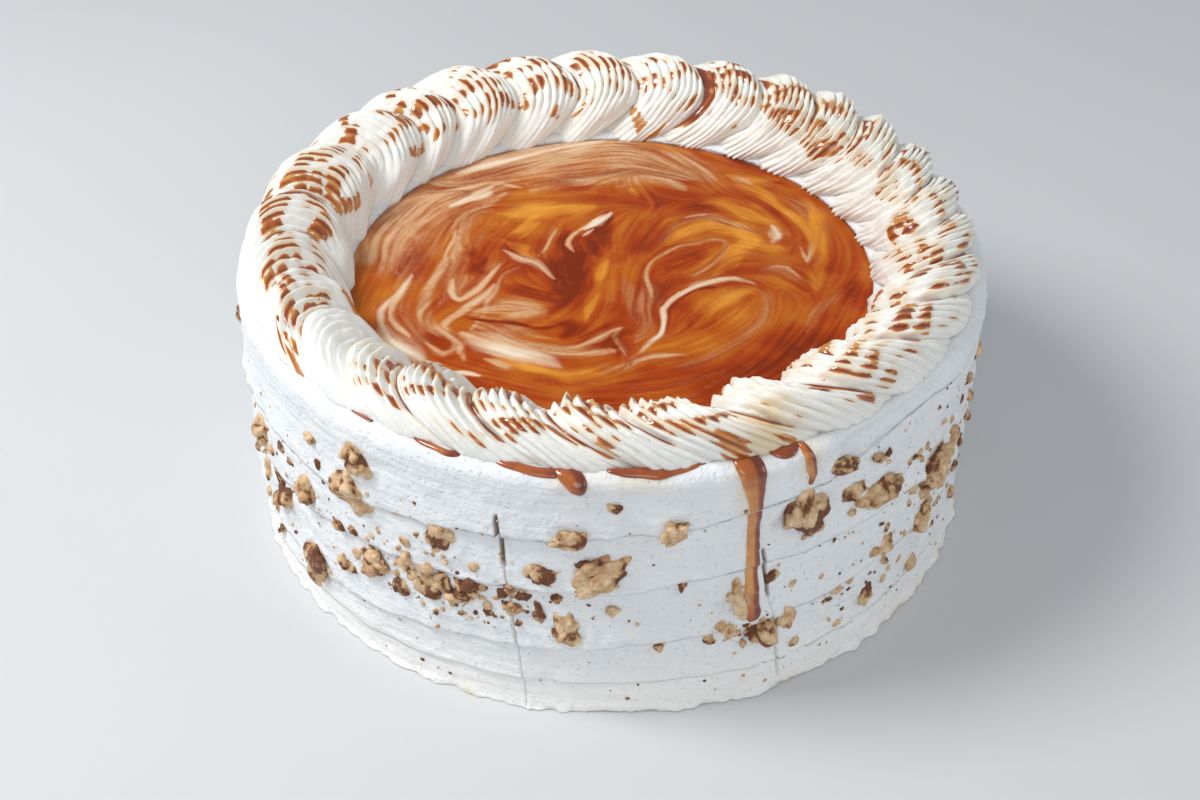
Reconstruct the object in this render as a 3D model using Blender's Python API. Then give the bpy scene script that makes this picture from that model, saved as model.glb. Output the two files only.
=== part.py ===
"""Round caramel cream torte: a whipped-cream coated cake with a recessed top, a marbled caramel pool,
a ring of piped star-tip swirls round the rim and nut pieces pressed into the side.

Units are metres, +Z is up, and the origin is the middle of the flat underside.
"""

import math
import random

import bmesh
import bpy
from mathutils import Matrix, Vector

MM = 0.001

# Driving dimensions: the coated cake
BASE_RADIUS = 130.0 * MM
BASE_CORNER = 2.5 * MM
SHOULDER_RADIUS = 128.5 * MM
SHOULDER_HEIGHT = 97.5 * MM
SHOULDER_ROUND = 4.0 * MM
BAND_TOPS = (13.0 * MM, 31.0 * MM, 54.5 * MM, 76.5 * MM)
BAND_STEP = 0.9 * MM

# The caramel pool in the recess of the top
POOL_RADIUS = 91.0 * MM
POOL_LEVEL = 84.0 * MM
POOL_THICKNESS = 4.0 * MM
POOL_SKIN_ROUND = 0.8 * MM

# The piped ring: its cross-section is an arch on the sloping rim of the cake
RING_RADIUS = 108.5 * MM
RING_HALF_WIDTH = 16.0 * MM
RING_HEIGHT = 16.4 * MM
RING_FEET_TRAIL = math.radians(14.0)
TRAIL_POWER = 2.0
RIDGES_PER_SWIRL = 4
RIDGE_DEPTH = 0.13
ARCH_POWER = 0.85
ARCH_STEPS = 7
# Width of each swirl in degrees, counter-clockwise from the first one piped
SWIRL_WIDTHS = (
    11, 13, 13, 11, 16, 14, 17, 13, 12, 13, 12, 12, 12,
    11, 13, 13, 15, 13, 14, 15, 10, 16, 19, 13, 13, 13, 12,
)  # fmt: skip
FIRST_SWIRL_START = math.radians(223.0)
FULLEST_SWIRLS_AT = math.radians(305.0)
FULLEST_SWIRLS_SPREAD = math.radians(32.0)
FULLEST_SWIRLS_EXTRA = 0.10

# Nut pieces: (bearing in degrees, height, width and length in mm, lean in degrees)
SHOWN_NUTS = (
    (233.8, 84.0, 10, 11, 0),
    (232.2, 68.0, 16, 19, 12),
    (246.8, 65.5, 9, 16, -8),
    (264.2, 75.5, 11, 8, 5),
    (278.6, 78.5, 10, 9, 20),
    (302.0, 86.0, 11, 8, -15),
    (296.5, 71.0, 14, 23, 6),
    (310.0, 68.0, 17, 11, -20),
    (323.5, 60.0, 13, 14, 10),
    (268.8, 61.5, 12, 19, -50),
    (260.5, 59.0, 9, 12, -25),
    (221.5, 54.0, 9, 12, -35),
    (264.5, 36.5, 10, 16, 15),
    (222.0, 24.5, 12, 19, -15),
    (288.0, 45.0, 8, 13, 5),
    (291.5, 29.5, 12, 15, 20),
    (240.8, 50.5, 8, 12, -10),
    (235.8, 41.5, 9, 13, -20),
    (250.0, 46.5, 9, 11, 30),
    (322.5, 41.0, 9, 13, 0),
    (206.5, 56.5, 10, 11, 0),
    (212.5, 37.0, 14, 12, 10),
    (331.0, 59.0, 9, 13, -10),
)  # fmt: skip
HIDDEN_NUT_COUNT = 8
HIDDEN_NUTS_FROM = 352.0
HIDDEN_NUTS_SWEEP = 202.0
NUT_HEIGHTS = (26.0, 80.0)
NUT_WIDTHS = (9.0, 14.0)
NUT_LENGTHS = (11.0, 19.0)
NUT_THICKNESS_SHARE = 0.55
NUT_HULL_POINTS = 18
NUT_UNEVENNESS = (0.95, 1.15)

GAP = 0.35 * MM
RIM_SEGMENTS = 64
SEED = 31

# The sloping rim that the piped ring sits on, from the recess's edge to the shoulder
RECESS_RADIUS = POOL_RADIUS + GAP
RIM_INNER_HEIGHT = POOL_LEVEL
RIM_OUTER_RADIUS = SHOULDER_RADIUS - SHOULDER_ROUND


def clear_scene():
    for scene_object in list(bpy.data.objects):
        bpy.data.objects.remove(scene_object, do_unlink=True)


def make_material(name, colour, roughness):
    material = bpy.data.materials.new(name)
    material.use_nodes = True
    shader = material.node_tree.nodes["Principled BSDF"]
    shader.inputs["Base Color"].default_value = (*colour, 1.0)
    shader.inputs["Roughness"].default_value = roughness
    return material


def add_object(name, mesh_builder, material, location=(0.0, 0.0, 0.0)):
    """Turns a finished bmesh into a named object."""
    bmesh.ops.recalc_face_normals(mesh_builder, faces=mesh_builder.faces)
    mesh = bpy.data.meshes.new(name)
    mesh_builder.to_mesh(mesh)
    mesh_builder.free()
    mesh.materials.append(material)
    mesh.shade_smooth()
    mesh.set_sharp_from_angle(angle=math.radians(35))
    made = bpy.data.objects.new(name, mesh)
    made.location = location
    bpy.context.scene.collection.objects.link(made)
    return made


def turned_solid(profile):
    """Turns an outline of (radius, height), which starts and ends on the axis, round Z."""
    builder = bmesh.new()
    rings = []
    for radius, height in profile[1:-1]:
        ring = []
        for step in range(RIM_SEGMENTS):
            angle = step * math.tau / RIM_SEGMENTS
            ring.append(builder.verts.new((radius * math.cos(angle), radius * math.sin(angle), height)))
        rings.append(ring)
    for lower, upper in zip(rings, rings[1:]):
        for step in range(RIM_SEGMENTS):
            after = (step + 1) % RIM_SEGMENTS
            builder.faces.new((lower[step], lower[after], upper[after], upper[step]))
    for ring, (_, height) in ((rings[0], profile[0]), (rings[-1], profile[-1])):
        middle = builder.verts.new((0.0, 0.0, height))
        for step in range(RIM_SEGMENTS):
            builder.faces.new((middle, ring[step], ring[(step + 1) % RIM_SEGMENTS]))
    return builder


def side_radius(height):
    """The side leans in slightly from the base to the shoulder."""
    share = height / SHOULDER_HEIGHT
    return BASE_RADIUS + (SHOULDER_RADIUS - BASE_RADIUS) * share


def side_outline():
    """The side from its bottom corner to the shoulder, set back by a small step above each band."""
    outline = [(BASE_RADIUS - BASE_CORNER, 0.0), (BASE_RADIUS, BASE_CORNER)]
    for band_top in BAND_TOPS:
        outline.append((side_radius(band_top), band_top - BAND_STEP))
        outline.append((side_radius(band_top) - BAND_STEP, band_top))
    shoulder_start = SHOULDER_HEIGHT - SHOULDER_ROUND
    outline.append((SHOULDER_RADIUS, shoulder_start))
    rounding = math.radians(45)
    outline.append((
        RIM_OUTER_RADIUS + SHOULDER_ROUND * math.cos(rounding),
        shoulder_start + SHOULDER_ROUND * math.sin(rounding),
    ))
    outline.append((RIM_OUTER_RADIUS, SHOULDER_HEIGHT))
    return outline


def cake_body(material):
    floor_height = POOL_LEVEL - POOL_THICKNESS - GAP
    outline = [(0.0, 0.0), *side_outline()]
    outline += [(RECESS_RADIUS, RIM_INNER_HEIGHT), (RECESS_RADIUS, floor_height), (0.0, floor_height)]
    return add_object("cream_coated_cake", turned_solid(outline), material)


def caramel_pool(material):
    underside = POOL_LEVEL - POOL_THICKNESS
    outline = [
        (0.0, underside),
        (POOL_RADIUS, underside),
        (POOL_RADIUS, POOL_LEVEL - POOL_SKIN_ROUND),
        (POOL_RADIUS - POOL_SKIN_ROUND, POOL_LEVEL),
        (0.0, POOL_LEVEL),
    ]
    return add_object("caramel_pool", turned_solid(outline), material)


def seat_height(radius):
    """Height of what the piped ring lies on: the pool, then the rim that slopes up to the shoulder."""
    share = (radius - RECESS_RADIUS) / (RIM_OUTER_RADIUS - RECESS_RADIUS)
    share = min(max(share, 0.0), 1.0)
    return RIM_INNER_HEIGHT + share * (SHOULDER_HEIGHT - RIM_INNER_HEIGHT)


def feet_trail(radius):
    """Angle by which a ridge has fallen back at this radius, and how fast that grows outwards."""
    offset = (radius - RING_RADIUS) / RING_HALF_WIDTH
    trail = RING_FEET_TRAIL * abs(offset) ** TRAIL_POWER
    slope = RING_FEET_TRAIL * TRAIL_POWER * abs(offset) ** (TRAIL_POWER - 1) / RING_HALF_WIDTH
    return trail, slope


def wall_allowance(radius):
    """Angle that keeps the gap to the next swirl, measured square to the slanting wall."""
    slope = feet_trail(radius)[1] * radius
    return 0.5 * GAP * math.hypot(1.0, slope) / radius


def swirl_fullness(share):
    """Size of the arch along one swirl: a rounded leading edge, then a taper to the tail."""
    lead = 1.0 - 0.16 * max(0.0, 1.0 - share / 0.15) ** 2
    return lead * (1.05 - 0.22 * share**1.5)


def swirl_bulk(bearing):
    """The swirls on one side of the ring were piped a little fuller."""
    away = (bearing - FULLEST_SWIRLS_AT + math.pi) % math.tau - math.pi
    return 1.0 + FULLEST_SWIRLS_EXTRA * math.exp(-((away / FULLEST_SWIRLS_SPREAD) ** 2))


def swirl_solid(start, width):
    """One ridged shell: a closed arch whose ridges curve from the inner foot to the outer foot."""
    builder = bmesh.new()
    columns = 2 * RIDGES_PER_SWIRL + 1
    top_rows, under_rows = [], []
    for column in range(columns):
        share = column / (columns - 1)
        ridge = 1.0 + RIDGE_DEPTH * (0.5 if column % 2 else -0.5)
        size = swirl_fullness(share) * swirl_bulk(start) * ridge
        reach = min(swirl_fullness(share) * swirl_bulk(start), 1.08)
        top, under = [], []
        for step in range(ARCH_STEPS + 1):
            arch = math.pi * step / ARCH_STEPS
            radius = RING_RADIUS + RING_HALF_WIDTH * reach * math.cos(arch)
            seat = seat_height(radius) + GAP
            inset = wall_allowance(radius) * (1.0 - 2.0 * share)
            bearing = start + width * share + feet_trail(radius)[0] + inset
            spot = Vector((radius * math.cos(bearing), radius * math.sin(bearing), seat))
            foot = builder.verts.new(spot)
            under.append(foot)
            if step in (0, ARCH_STEPS):
                top.append(foot)
                continue
            rise = RING_HEIGHT * size * math.sin(arch) ** ARCH_POWER
            top.append(builder.verts.new(spot + Vector((0.0, 0.0, rise))))
        top_rows.append(top)
        under_rows.append(under)
    for left in range(columns - 1):
        for step in range(ARCH_STEPS):
            for rows in (top_rows, under_rows):
                builder.faces.new((
                    rows[left][step],
                    rows[left][step + 1],
                    rows[left + 1][step + 1],
                    rows[left + 1][step],
                ))
    for end in (0, columns - 1):
        for step in range(ARCH_STEPS):
            corners = [under_rows[end][step], under_rows[end][step + 1]]
            corners += [top_rows[end][step + 1], top_rows[end][step]]
            builder.faces.new(list(dict.fromkeys(corners)))
    bmesh.ops.triangulate(builder, faces=builder.faces)
    return builder


def piped_ring(material):
    start = FIRST_SWIRL_START
    scale = 360.0 / sum(SWIRL_WIDTHS)
    for number, degrees in enumerate(SWIRL_WIDTHS, start=1):
        width = math.radians(degrees * scale)
        add_object(f"piped_swirl_{number:02d}", swirl_solid(start, width), material)
        start += width


def nut_solid(shaper, width, length):
    """A chipped nut kernel with a flat back: the hull of points spread over half an uneven ball."""
    builder = bmesh.new()
    thickness = NUT_THICKNESS_SHARE * min(width, length)
    for number in range(NUT_HULL_POINTS):
        turn = math.tau * (number * 0.618 % 1.0)
        level = (number + 0.5) / NUT_HULL_POINTS
        spread = math.sqrt(1.0 - level**2) * shaper.uniform(*NUT_UNEVENNESS)
        lift = 0.0 if number < NUT_HULL_POINTS / 3 else level
        builder.verts.new((
            0.5 * width * spread * math.cos(turn),
            0.5 * length * spread * math.sin(turn),
            thickness * lift,
        ))
    hull = bmesh.ops.convex_hull(builder, input=builder.verts)
    spare = hull["geom_interior"] + hull["geom_unused"]
    bmesh.ops.delete(builder, geom=spare, context="VERTS")
    return builder


def add_nut(number, shaper, material, nut):
    bearing, height, width, length, lean = nut
    angle = math.radians(bearing)
    height *= MM
    outward = Vector((math.cos(angle), math.sin(angle), 0.0))
    upward = Vector((0.0, 0.0, 1.0))
    sideways = upward.cross(outward)
    turned = Matrix((sideways, upward, outward)).transposed().to_4x4()
    turned @= Matrix.Rotation(math.radians(lean), 4, "Z")
    builder = nut_solid(shaper, width * MM, length * MM)
    bmesh.ops.transform(builder, matrix=turned, verts=builder.verts)
    place = outward * (BASE_RADIUS + GAP) + upward * height
    add_object(f"nut_piece_{number:02d}", builder, material, location=place)


def nut_pieces(material):
    shaper = random.Random(SEED)
    nuts = list(SHOWN_NUTS)
    for number in range(HIDDEN_NUT_COUNT):
        share = (number + shaper.uniform(0.2, 0.8)) / HIDDEN_NUT_COUNT
        bearing = (HIDDEN_NUTS_FROM + HIDDEN_NUTS_SWEEP * share) % 360.0
        height = shaper.uniform(*NUT_HEIGHTS)
        width = shaper.uniform(*NUT_WIDTHS)
        length = shaper.uniform(*NUT_LENGTHS)
        lean = shaper.uniform(-60.0, 60.0)
        nuts.append((bearing, height, width, length, lean))
    for number, nut in enumerate(nuts, start=1):
        add_nut(number, shaper, material, nut)


clear_scene()
whipped_cream = make_material("whipped_cream", (0.86, 0.84, 0.80), 0.55)
piped_cream = make_material("piped_cream", (0.90, 0.86, 0.76), 0.5)
caramel = make_material("caramel", (0.45, 0.14, 0.03), 0.12)
nut_kernel = make_material("nut_kernel", (0.52, 0.33, 0.16), 0.6)
cake_body(whipped_cream)
caramel_pool(caramel)
piped_ring(piped_cream)
nut_pieces(nut_kernel)
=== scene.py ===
"""Visual model of a round caramel torte: whipped-cream coat with trowel bands, a marbled caramel pool,
a piped rope border with caramel drizzle, and chopped walnut pressed into the side."""

import itertools
import math
import random

import bmesh
import bpy
import numpy as np
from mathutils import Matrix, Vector


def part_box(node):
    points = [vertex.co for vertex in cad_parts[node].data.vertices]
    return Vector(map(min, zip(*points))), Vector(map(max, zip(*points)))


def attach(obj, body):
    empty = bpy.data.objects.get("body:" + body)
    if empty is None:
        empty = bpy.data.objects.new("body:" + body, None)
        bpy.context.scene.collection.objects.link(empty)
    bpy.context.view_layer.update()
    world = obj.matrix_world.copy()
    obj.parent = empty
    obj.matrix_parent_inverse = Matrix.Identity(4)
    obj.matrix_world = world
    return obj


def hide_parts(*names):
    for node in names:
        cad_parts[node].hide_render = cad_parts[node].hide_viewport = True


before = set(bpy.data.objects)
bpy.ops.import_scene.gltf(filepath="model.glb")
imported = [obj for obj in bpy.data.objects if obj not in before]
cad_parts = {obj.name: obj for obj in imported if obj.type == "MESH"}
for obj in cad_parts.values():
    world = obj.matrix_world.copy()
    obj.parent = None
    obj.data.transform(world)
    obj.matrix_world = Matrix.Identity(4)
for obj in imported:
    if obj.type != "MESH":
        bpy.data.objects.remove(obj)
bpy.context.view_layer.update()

# ---------------------------------------------------------------------------------------------------
# Cream coat. Real piece: about 6 mm of stabilised whipped cream, spread round the stacked layers and
# struck off with a trowel while the turntable turns. The trowel leaves four wavy ledges and fine drag
# marks; a lifting wire left two slits, and the foot is feathered where the cake was set down.
# ---------------------------------------------------------------------------------------------------
FOOT_RADIUS = 130.0
UNDERSIDE_RADIUS = 127.0
SHOULDER_RADIUS = 128.5
SHOULDER_START = 93.5
SHOULDER_ROUND = 4.0
SHOULDER_TOP = 97.5
RIM_RADIUS = 124.5
RECESS_RADIUS = 91.35
RECESS_TOP = 84.0
RECESS_FLOOR = 79.65
COAT_COLUMNS = 576
SHOULDER_LENGTH = 6.28
RIM_INWARD = 0.926
RIM_DOWNWARD = 0.377
MM_PER_DEGREE = 2.27
DEGREES_PER_MM = 0.441
TROWEL_LEDGES = (
    # seed, height in mm at the right and left, how far it tilts to the front, and its rise at the front
    (1, 13.0, 2.0, 0),
    (2, 30.5, 9.1, 0),
    (3, 54.6, 7.2, 0),
    (4, 76.0, 14.3, 5.2),
)
LEDGE_CEILING = 89.0
SCOOPED_FLAT = (299.0, 305.0, 322.0, 330.0)
SCOOPED_DEPTH = 2.3
WIRE_SLITS = (
    # bearing and height of the points along each slit, then (low, high, depth, half width) of its runs
    (
        ((258.5, 0.0), (257.4, 26.0), (255.9, 62.0), (255.2, 81.0)),
        ((0.0, 26.0, 0.6, 0.28), (26.0, 39.0, 1.1, 0.45), (39.0, 61.0, 0.6, 0.25), (61.0, 80.5, 2.0, 0.6)),
    ),
    (
        ((295.0, 4.0), (293.7, 26.0), (292.0, 45.5), (290.8, 66.0)),
        ((4.0, 21.0, 1.0, 0.5), (21.0, 43.0, 0.5, 0.25), (43.0, 63.0, 1.7, 0.5)),
    ),
)


def lattice_noise(points, cell, seed):
    """Smooth noise from -1 to 1 at points in mm, with one random value for each corner of the cells,
    which the large odd numbers stir out of the corner's place and the seed."""
    spots = np.asarray(points, float) / cell
    corner = np.floor(spots).astype(np.int64)
    part = spots - corner
    part = part * part * (3.0 - 2.0 * part)
    total = np.zeros(spots.shape[:-1])
    for step in itertools.product((0, 1), repeat=spots.shape[-1]):
        code = np.full(total.shape, seed * 7919, np.int64)
        weight = np.ones(total.shape)
        for axis, ahead in enumerate(step):
            code = code * 1000003 + corner[..., axis] + ahead
            code = (code ^ (code >> 15)) * 668265263 % 4294967296
            weight = weight * (part[..., axis] if ahead else 1.0 - part[..., axis])
        code = (code ^ (code >> 13)) * 1274126177 % 4294967296
        total += weight * ((code >> 8) % 65536 / 32767.5 - 1.0)
    return total


def smooth_step(low, high, value):
    share = np.clip((value - low) / (high - low), 0.0, 1.0)
    return share * share * (3.0 - 2.0 * share)


def within(low, high, soft, value):
    """1 between low and high, falling softly to 0 outside them."""
    return smooth_step(low - soft, low + soft, value) * (1.0 - smooth_step(high - soft, high + soft, value))


def slit_bearing(path, height):
    """Bearing of a wire slit at a height."""
    return np.interp(height, [spot[1] for spot in path], [spot[0] for spot in path])


def round_spots(bearing, height, radius=FOOT_RADIUS):
    """Points in mm on an upright cylinder, for noise that closes round the cake."""
    angle = np.radians(bearing)
    x, y, z = np.broadcast_arrays(radius * np.cos(angle), radius * np.sin(angle), height)
    return np.stack([x, y, z], -1)


def trowel_ledges(bearing):
    """Height in mm of the four ledges at each bearing, lowest first."""
    turn = np.radians(np.asarray(bearing, float) - 270.0)
    spots = round_spots(bearing, 0.0)
    rows = []
    for seed, level, tilt, rise in TROWEL_LEDGES:
        line = level + tilt * np.sin(turn) + rise * np.sin(turn) ** 2
        line = line + 1.2 * lattice_noise(spots, 34.0, 20 + seed)
        line = line + 0.45 * lattice_noise(spots, 7.0, 30 + seed)
        rows.append(np.minimum(line, LEDGE_CEILING))
    return np.stack(rows)


def seats_of_nuts():
    """Bearing, height and reach in mm of every walnut piece that the frame holds."""
    seats = []
    for name in sorted(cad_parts):
        if name.startswith("nut_piece"):
            low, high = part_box(name)
            middle = (low + high) * 500.0
            bearing = math.degrees(math.atan2(middle.y, middle.x)) % 360.0
            side = math.hypot(high.x - low.x, high.y - low.y)
            seats.append((bearing, middle.z, 260.0 * (side + high.z - low.z)))
    return seats


nut_seats = seats_of_nuts()


def coat_radius(bearing, height):
    """Radius in mm of the coat's side: uneven spreading, drag marks, ledges, slits, the foot and the
    cream pushed up round the nuts."""
    bearing, height = np.broadcast_arrays(np.asarray(bearing, float), np.asarray(height, float))
    radius = FOOT_RADIUS + (SHOULDER_RADIUS - FOOT_RADIUS) * height / SHOULDER_TOP
    spots, ring = round_spots(bearing, height), round_spots(bearing, 0.0)
    flat = spots * (0.35, 0.35, 1.0)
    starts, full, wanes, ends = SCOOPED_FLAT
    ledges = trowel_ledges(bearing)
    scooped = smooth_step(starts, full, bearing) * (1.0 - smooth_step(wanes, ends, bearing))
    scooped = scooped * smooth_step(-0.1, 0.1, height - ledges[3])
    rough = 1.0 - 0.85 * scooped
    radius = radius + 0.65 * lattice_noise(flat, 17.0, 41) + rough * 0.34 * lattice_noise(flat, 6.0, 42)
    x, y, z = np.moveaxis(spots, -1, 0)
    slanted = np.stack([x + z, y - 0.6 * z, z * 1.4], -1)
    radius = radius + rough * 0.34 * lattice_noise(slanted, 4.2, 44)
    drag = spots * (0.07, 0.07, 1.0)
    radius = radius + rough * (0.24 * lattice_noise(drag, 1.7, 43) + 0.16 * lattice_noise(spots, 2.6, 45))
    for number, ledge in enumerate(ledges):
        away = height - ledge
        up, down = np.maximum(away, 0.0), np.minimum(away, 0.0)
        strength = 0.82 + 0.45 * lattice_noise(ring, 26.0, 50 + number)
        strength = strength + 0.35 * lattice_noise(ring, 5.0, 55 + number)
        strength = np.clip(strength, 0.12, 1.35) * (0.6 if number == 0 else 1.0)
        above = 1.50 * np.exp(-up / 6.5) - 0.30 * np.exp(-up / 0.5)
        below = -0.95 * np.exp(down / 1.2) - 0.85 * np.exp(down / 5.5)
        radius = radius + strength * np.where(away > 0.0, above, below)
    radius = radius - scooped * (SCOOPED_DEPTH + 0.14 * np.maximum(height - RECESS_TOP, 0.0))
    for path, runs in WIRE_SLITS:
        aside = np.abs(bearing - slit_bearing(path, height)) * math.pi / 180.0 * FOOT_RADIUS
        for low, high, depth, half in runs:
            along = within(low, high, 1.5, height)
            width = half * (1.0 + 0.35 * lattice_noise(spots, 5.0, 61))
            radius = radius - along * depth * (1.0 - smooth_step(0.45 * width, 1.25 * width, aside))
            radius = radius + along * 0.16 * np.exp(-(((aside - 1.9 * half) / 0.9) ** 2))
    foot = 0.9 + 0.8 * lattice_noise(spots, 3.7, 71) + 0.9 * lattice_noise(spots, 12.0, 72)
    foot = foot + 0.5 * lattice_noise(spots, 1.7, 73)
    radius = radius + foot * np.exp(-height / 1.4)
    for spot_bearing, spot_height, reach in nut_seats:
        aside = (bearing - spot_bearing + 180.0) % 360.0 - 180.0
        near = np.hypot(aside * math.pi / 180.0 * FOOT_RADIUS, height - spot_height)
        radius = radius + 0.55 * np.exp(-(((near - reach) / 1.6) ** 2))
    return radius


def coat_spots(bearing, climb, lift=0.0):
    """Points in mm on the coat. Climb is the height up the side, then the way over the shoulder and in
    along the rim; lift is how far a point stands off the coat."""
    bearing, climb, lift = np.broadcast_arrays(np.asarray(bearing, float), climb, lift)
    over = np.clip(climb - SHOULDER_START, 0.0, None)
    turn = np.clip(over / SHOULDER_ROUND, 0.0, math.pi / 2)
    inward = np.clip(over - SHOULDER_ROUND * math.pi / 2, 0.0, None)
    side = coat_radius(bearing, np.minimum(climb, SHOULDER_START))
    settle = SHOULDER_ROUND + (side - SHOULDER_RADIUS) * (1.0 - turn / (math.pi / 2))
    radius = RIM_RADIUS + (settle + lift) * np.cos(turn) - RIM_INWARD * inward
    height = np.minimum(climb, SHOULDER_START) + (SHOULDER_ROUND + lift) * np.sin(turn)
    height = height - RIM_DOWNWARD * inward
    soft = smooth_step(0.0, 3.0, over)
    height = height + soft * 0.35 * lattice_noise(round_spots(bearing, inward), 9.0, 81)
    swept = np.stack([radius * 1.6 + bearing * 0.55, bearing * 0.55], -1)
    skirt = np.exp(-(((radius - 94.6) / 2.6) ** 2)) * soft * (inward > 5.0)
    height = height + skirt * (1.5 + 0.9 * lattice_noise(swept, 3.0, 82))
    angle = np.radians(bearing)
    return np.stack([radius * np.cos(angle), radius * np.sin(angle), height], -1)


def grid_faces(rows, columns, round_columns=True):
    """Quads between neighbouring rows of points, closed round the columns where they form rings."""
    wide = columns if round_columns else columns - 1
    row, column = np.meshgrid(np.arange(rows - 1), np.arange(wide), indexing="ij")
    after = (column + 1) % columns
    low, high = row * columns, (row + 1) * columns
    return np.stack([low + column, low + after, high + after, high + column], -1).reshape(-1, 4)


def capped_faces(rows, columns):
    """Quads between rings of points, with the first and the last ring closed by a face."""
    last = (rows - 1) * columns
    caps = [list(range(columns))[::-1], list(range(last, last + columns))]
    return grid_faces(rows, columns).tolist() + caps


def add_piece(name, points, faces, material, replaced=(), values=None):
    """A smooth mesh piece from points in mm, with named values for its points, fixed to the cake."""
    mesh = bpy.data.meshes.new(name)
    mesh.from_pydata((np.asarray(points) * 0.001).tolist(), [], [list(map(int, face)) for face in faces])
    for label, numbers in (values or {}).items():
        attribute = mesh.attributes.new(label, "FLOAT", "POINT")
        attribute.data.foreach_set("value", np.asarray(numbers, np.float32).reshape(-1))
    mesh.materials.append(material)
    mesh.shade_smooth()
    mesh.update()
    made = bpy.data.objects.new(name, mesh)
    bpy.context.scene.collection.objects.link(made)
    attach(made, "root")
    if replaced:
        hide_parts(*replaced)


def node(tree, kind, sockets=None, **settings):
    """A shader node with its settings; sockets are given a value or another node's output."""
    made = tree.nodes.new("ShaderNode" + kind)
    for key, value in settings.items():
        setattr(made, key, value)
    for key, value in (sockets or {}).items():
        if isinstance(value, bpy.types.NodeSocket):
            tree.links.new(value, made.inputs[key])
        else:
            made.inputs[key].default_value = value
    return made


def blend_colours(tree, share, first, second):
    return node(tree, "Mix", {0: share, 6: first, 7: second}, data_type="RGBA").outputs[2]


def sums(tree, operation, first, second=0.0, third=0.0, clamp=False):
    made = node(tree, "Math", {0: first, 1: second, 2: third}, operation=operation, use_clamp=clamp)
    return made.outputs[0]


def clouds(tree, place, scale, detail, roughness=0.5):
    sockets = {"Vector": place, "Scale": scale, "Detail": detail, "Roughness": roughness}
    return node(tree, "TexNoise", sockets).outputs["Fac"]


def spread(tree, value, low, high, at_low, at_high):
    """A value's range from low to high turned into another range, and held at its ends."""
    return node(tree, "MapRange", {0: value, 1: low, 2: high, 3: at_low, 4: at_high}).outputs[0]


def point_value(tree, label):
    return node(tree, "Attribute", attribute_name=label).outputs["Fac"]


def colour_ramp(tree, share, stops):
    """Colours over a share from 0 to 1; the first and the last stop stand at its ends."""
    ramp = node(tree, "ValToRGB", {"Fac": share})
    elements = ramp.color_ramp.elements
    elements[0].color, elements[1].color = stops[0][1], stops[-1][1]
    for place, colour in stops[1:-1]:
        elements.new(place).color = colour
    return ramp.outputs["Color"]


def start_group(name, takes, gives):
    """An empty node group with named inputs (name, kind, value) and outputs (name, kind)."""
    tree = bpy.data.node_groups.new(name, "ShaderNodeTree")
    for label, kind, value in takes:
        socket = tree.interface.new_socket(label, in_out="INPUT", socket_type="NodeSocket" + kind)
        if value is not None:
            socket.default_value = value
    for label, kind in gives:
        tree.interface.new_socket(label, in_out="OUTPUT", socket_type="NodeSocket" + kind)
    return tree, tree.nodes.new("NodeGroupInput").outputs, tree.nodes.new("NodeGroupOutput").inputs


def start_material(name, **constants):
    """A material with its shader's constants set, its node tree and the place of each point."""
    material = bpy.data.materials.new(name)
    material.use_nodes = True
    tree = material.node_tree
    shader = tree.nodes["Principled BSDF"]
    for key, value in constants.items():
        shader.inputs[key.replace("_", " ")].default_value = value
    return material, tree, node(tree, "TexCoord").outputs["Object"]


def finish_material(tree, colour, roughness, height, strength, relief):
    """Joins colour, roughness and surface relief (its depth in metres) to the material's shader."""
    inputs = tree.nodes["Principled BSDF"].inputs
    tree.links.new(colour, inputs["Base Color"])
    tree.links.new(roughness, inputs["Roughness"])
    bump = node(tree, "Bump", {"Height": height, "Strength": strength, "Distance": relief})
    tree.links.new(bump.outputs["Normal"], inputs["Normal"])


def whipped_grain_group():
    """Whipped cream's look: drifts of tone at random toward the second, darker colour, fine grain, and small
    burst bubbles whose pits get painted shade.
    """
    takes = [("Vector", "Vector", None), ("Cream", "Color", (0.9, 0.88, 0.84, 1.0))]
    takes += [("Shade", "Color", (0.8, 0.78, 0.72, 1.0)), ("Bubbles", "Float", 1.0), ("Drag", "Float", 1.0)]
    gives = [("Colour", "Color"), ("Roughness", "Float"), ("Height", "Float")]
    tree, take, give = start_group("whipped_grain", takes, gives)
    place, cream, shade = take["Vector"], take["Cream"], take["Shade"]
    drift = clouds(tree, place, 45.0, 3.0)
    grain = clouds(tree, place, 700.0, 4.0, 0.6)
    coarse = clouds(tree, place, 260.0, 3.0)
    bubble = node(tree, "TexVoronoi", {"Vector": place, "Scale": 420.0}, feature="F1")
    hole = spread(tree, bubble.outputs["Distance"], 0.10, 0.24, 1.0, 0.0)
    hole = sums(tree, "MULTIPLY", hole, take["Bubbles"])
    share = sums(tree, "MULTIPLY_ADD", drift, 1.6, -0.5, clamp=True)
    tone = blend_colours(tree, share, cream, shade)
    # Painted shade: the bubble pits are darkened toward the darker colour.
    tree.links.new(blend_colours(tree, sums(tree, "MULTIPLY", hole, 0.35), tone, shade), give["Colour"])
    tree.links.new(sums(tree, "MULTIPLY_ADD", grain, 0.25, 0.42), give["Roughness"])
    along = node(tree, "VectorMath", {0: place, 1: (0.10, 0.10, 1.0)}, operation="MULTIPLY").outputs[0]
    along = clouds(tree, along, 520.0, 3.0)
    height = sums(tree, "MULTIPLY_ADD", coarse, 1.3, sums(tree, "MULTIPLY", grain, 0.7))
    height = sums(tree, "MULTIPLY_ADD", along, take["Drag"], height)
    tree.links.new(sums(tree, "SUBTRACT", height, hole), give["Height"])
    return tree


whipped_grain = whipped_grain_group()

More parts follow.
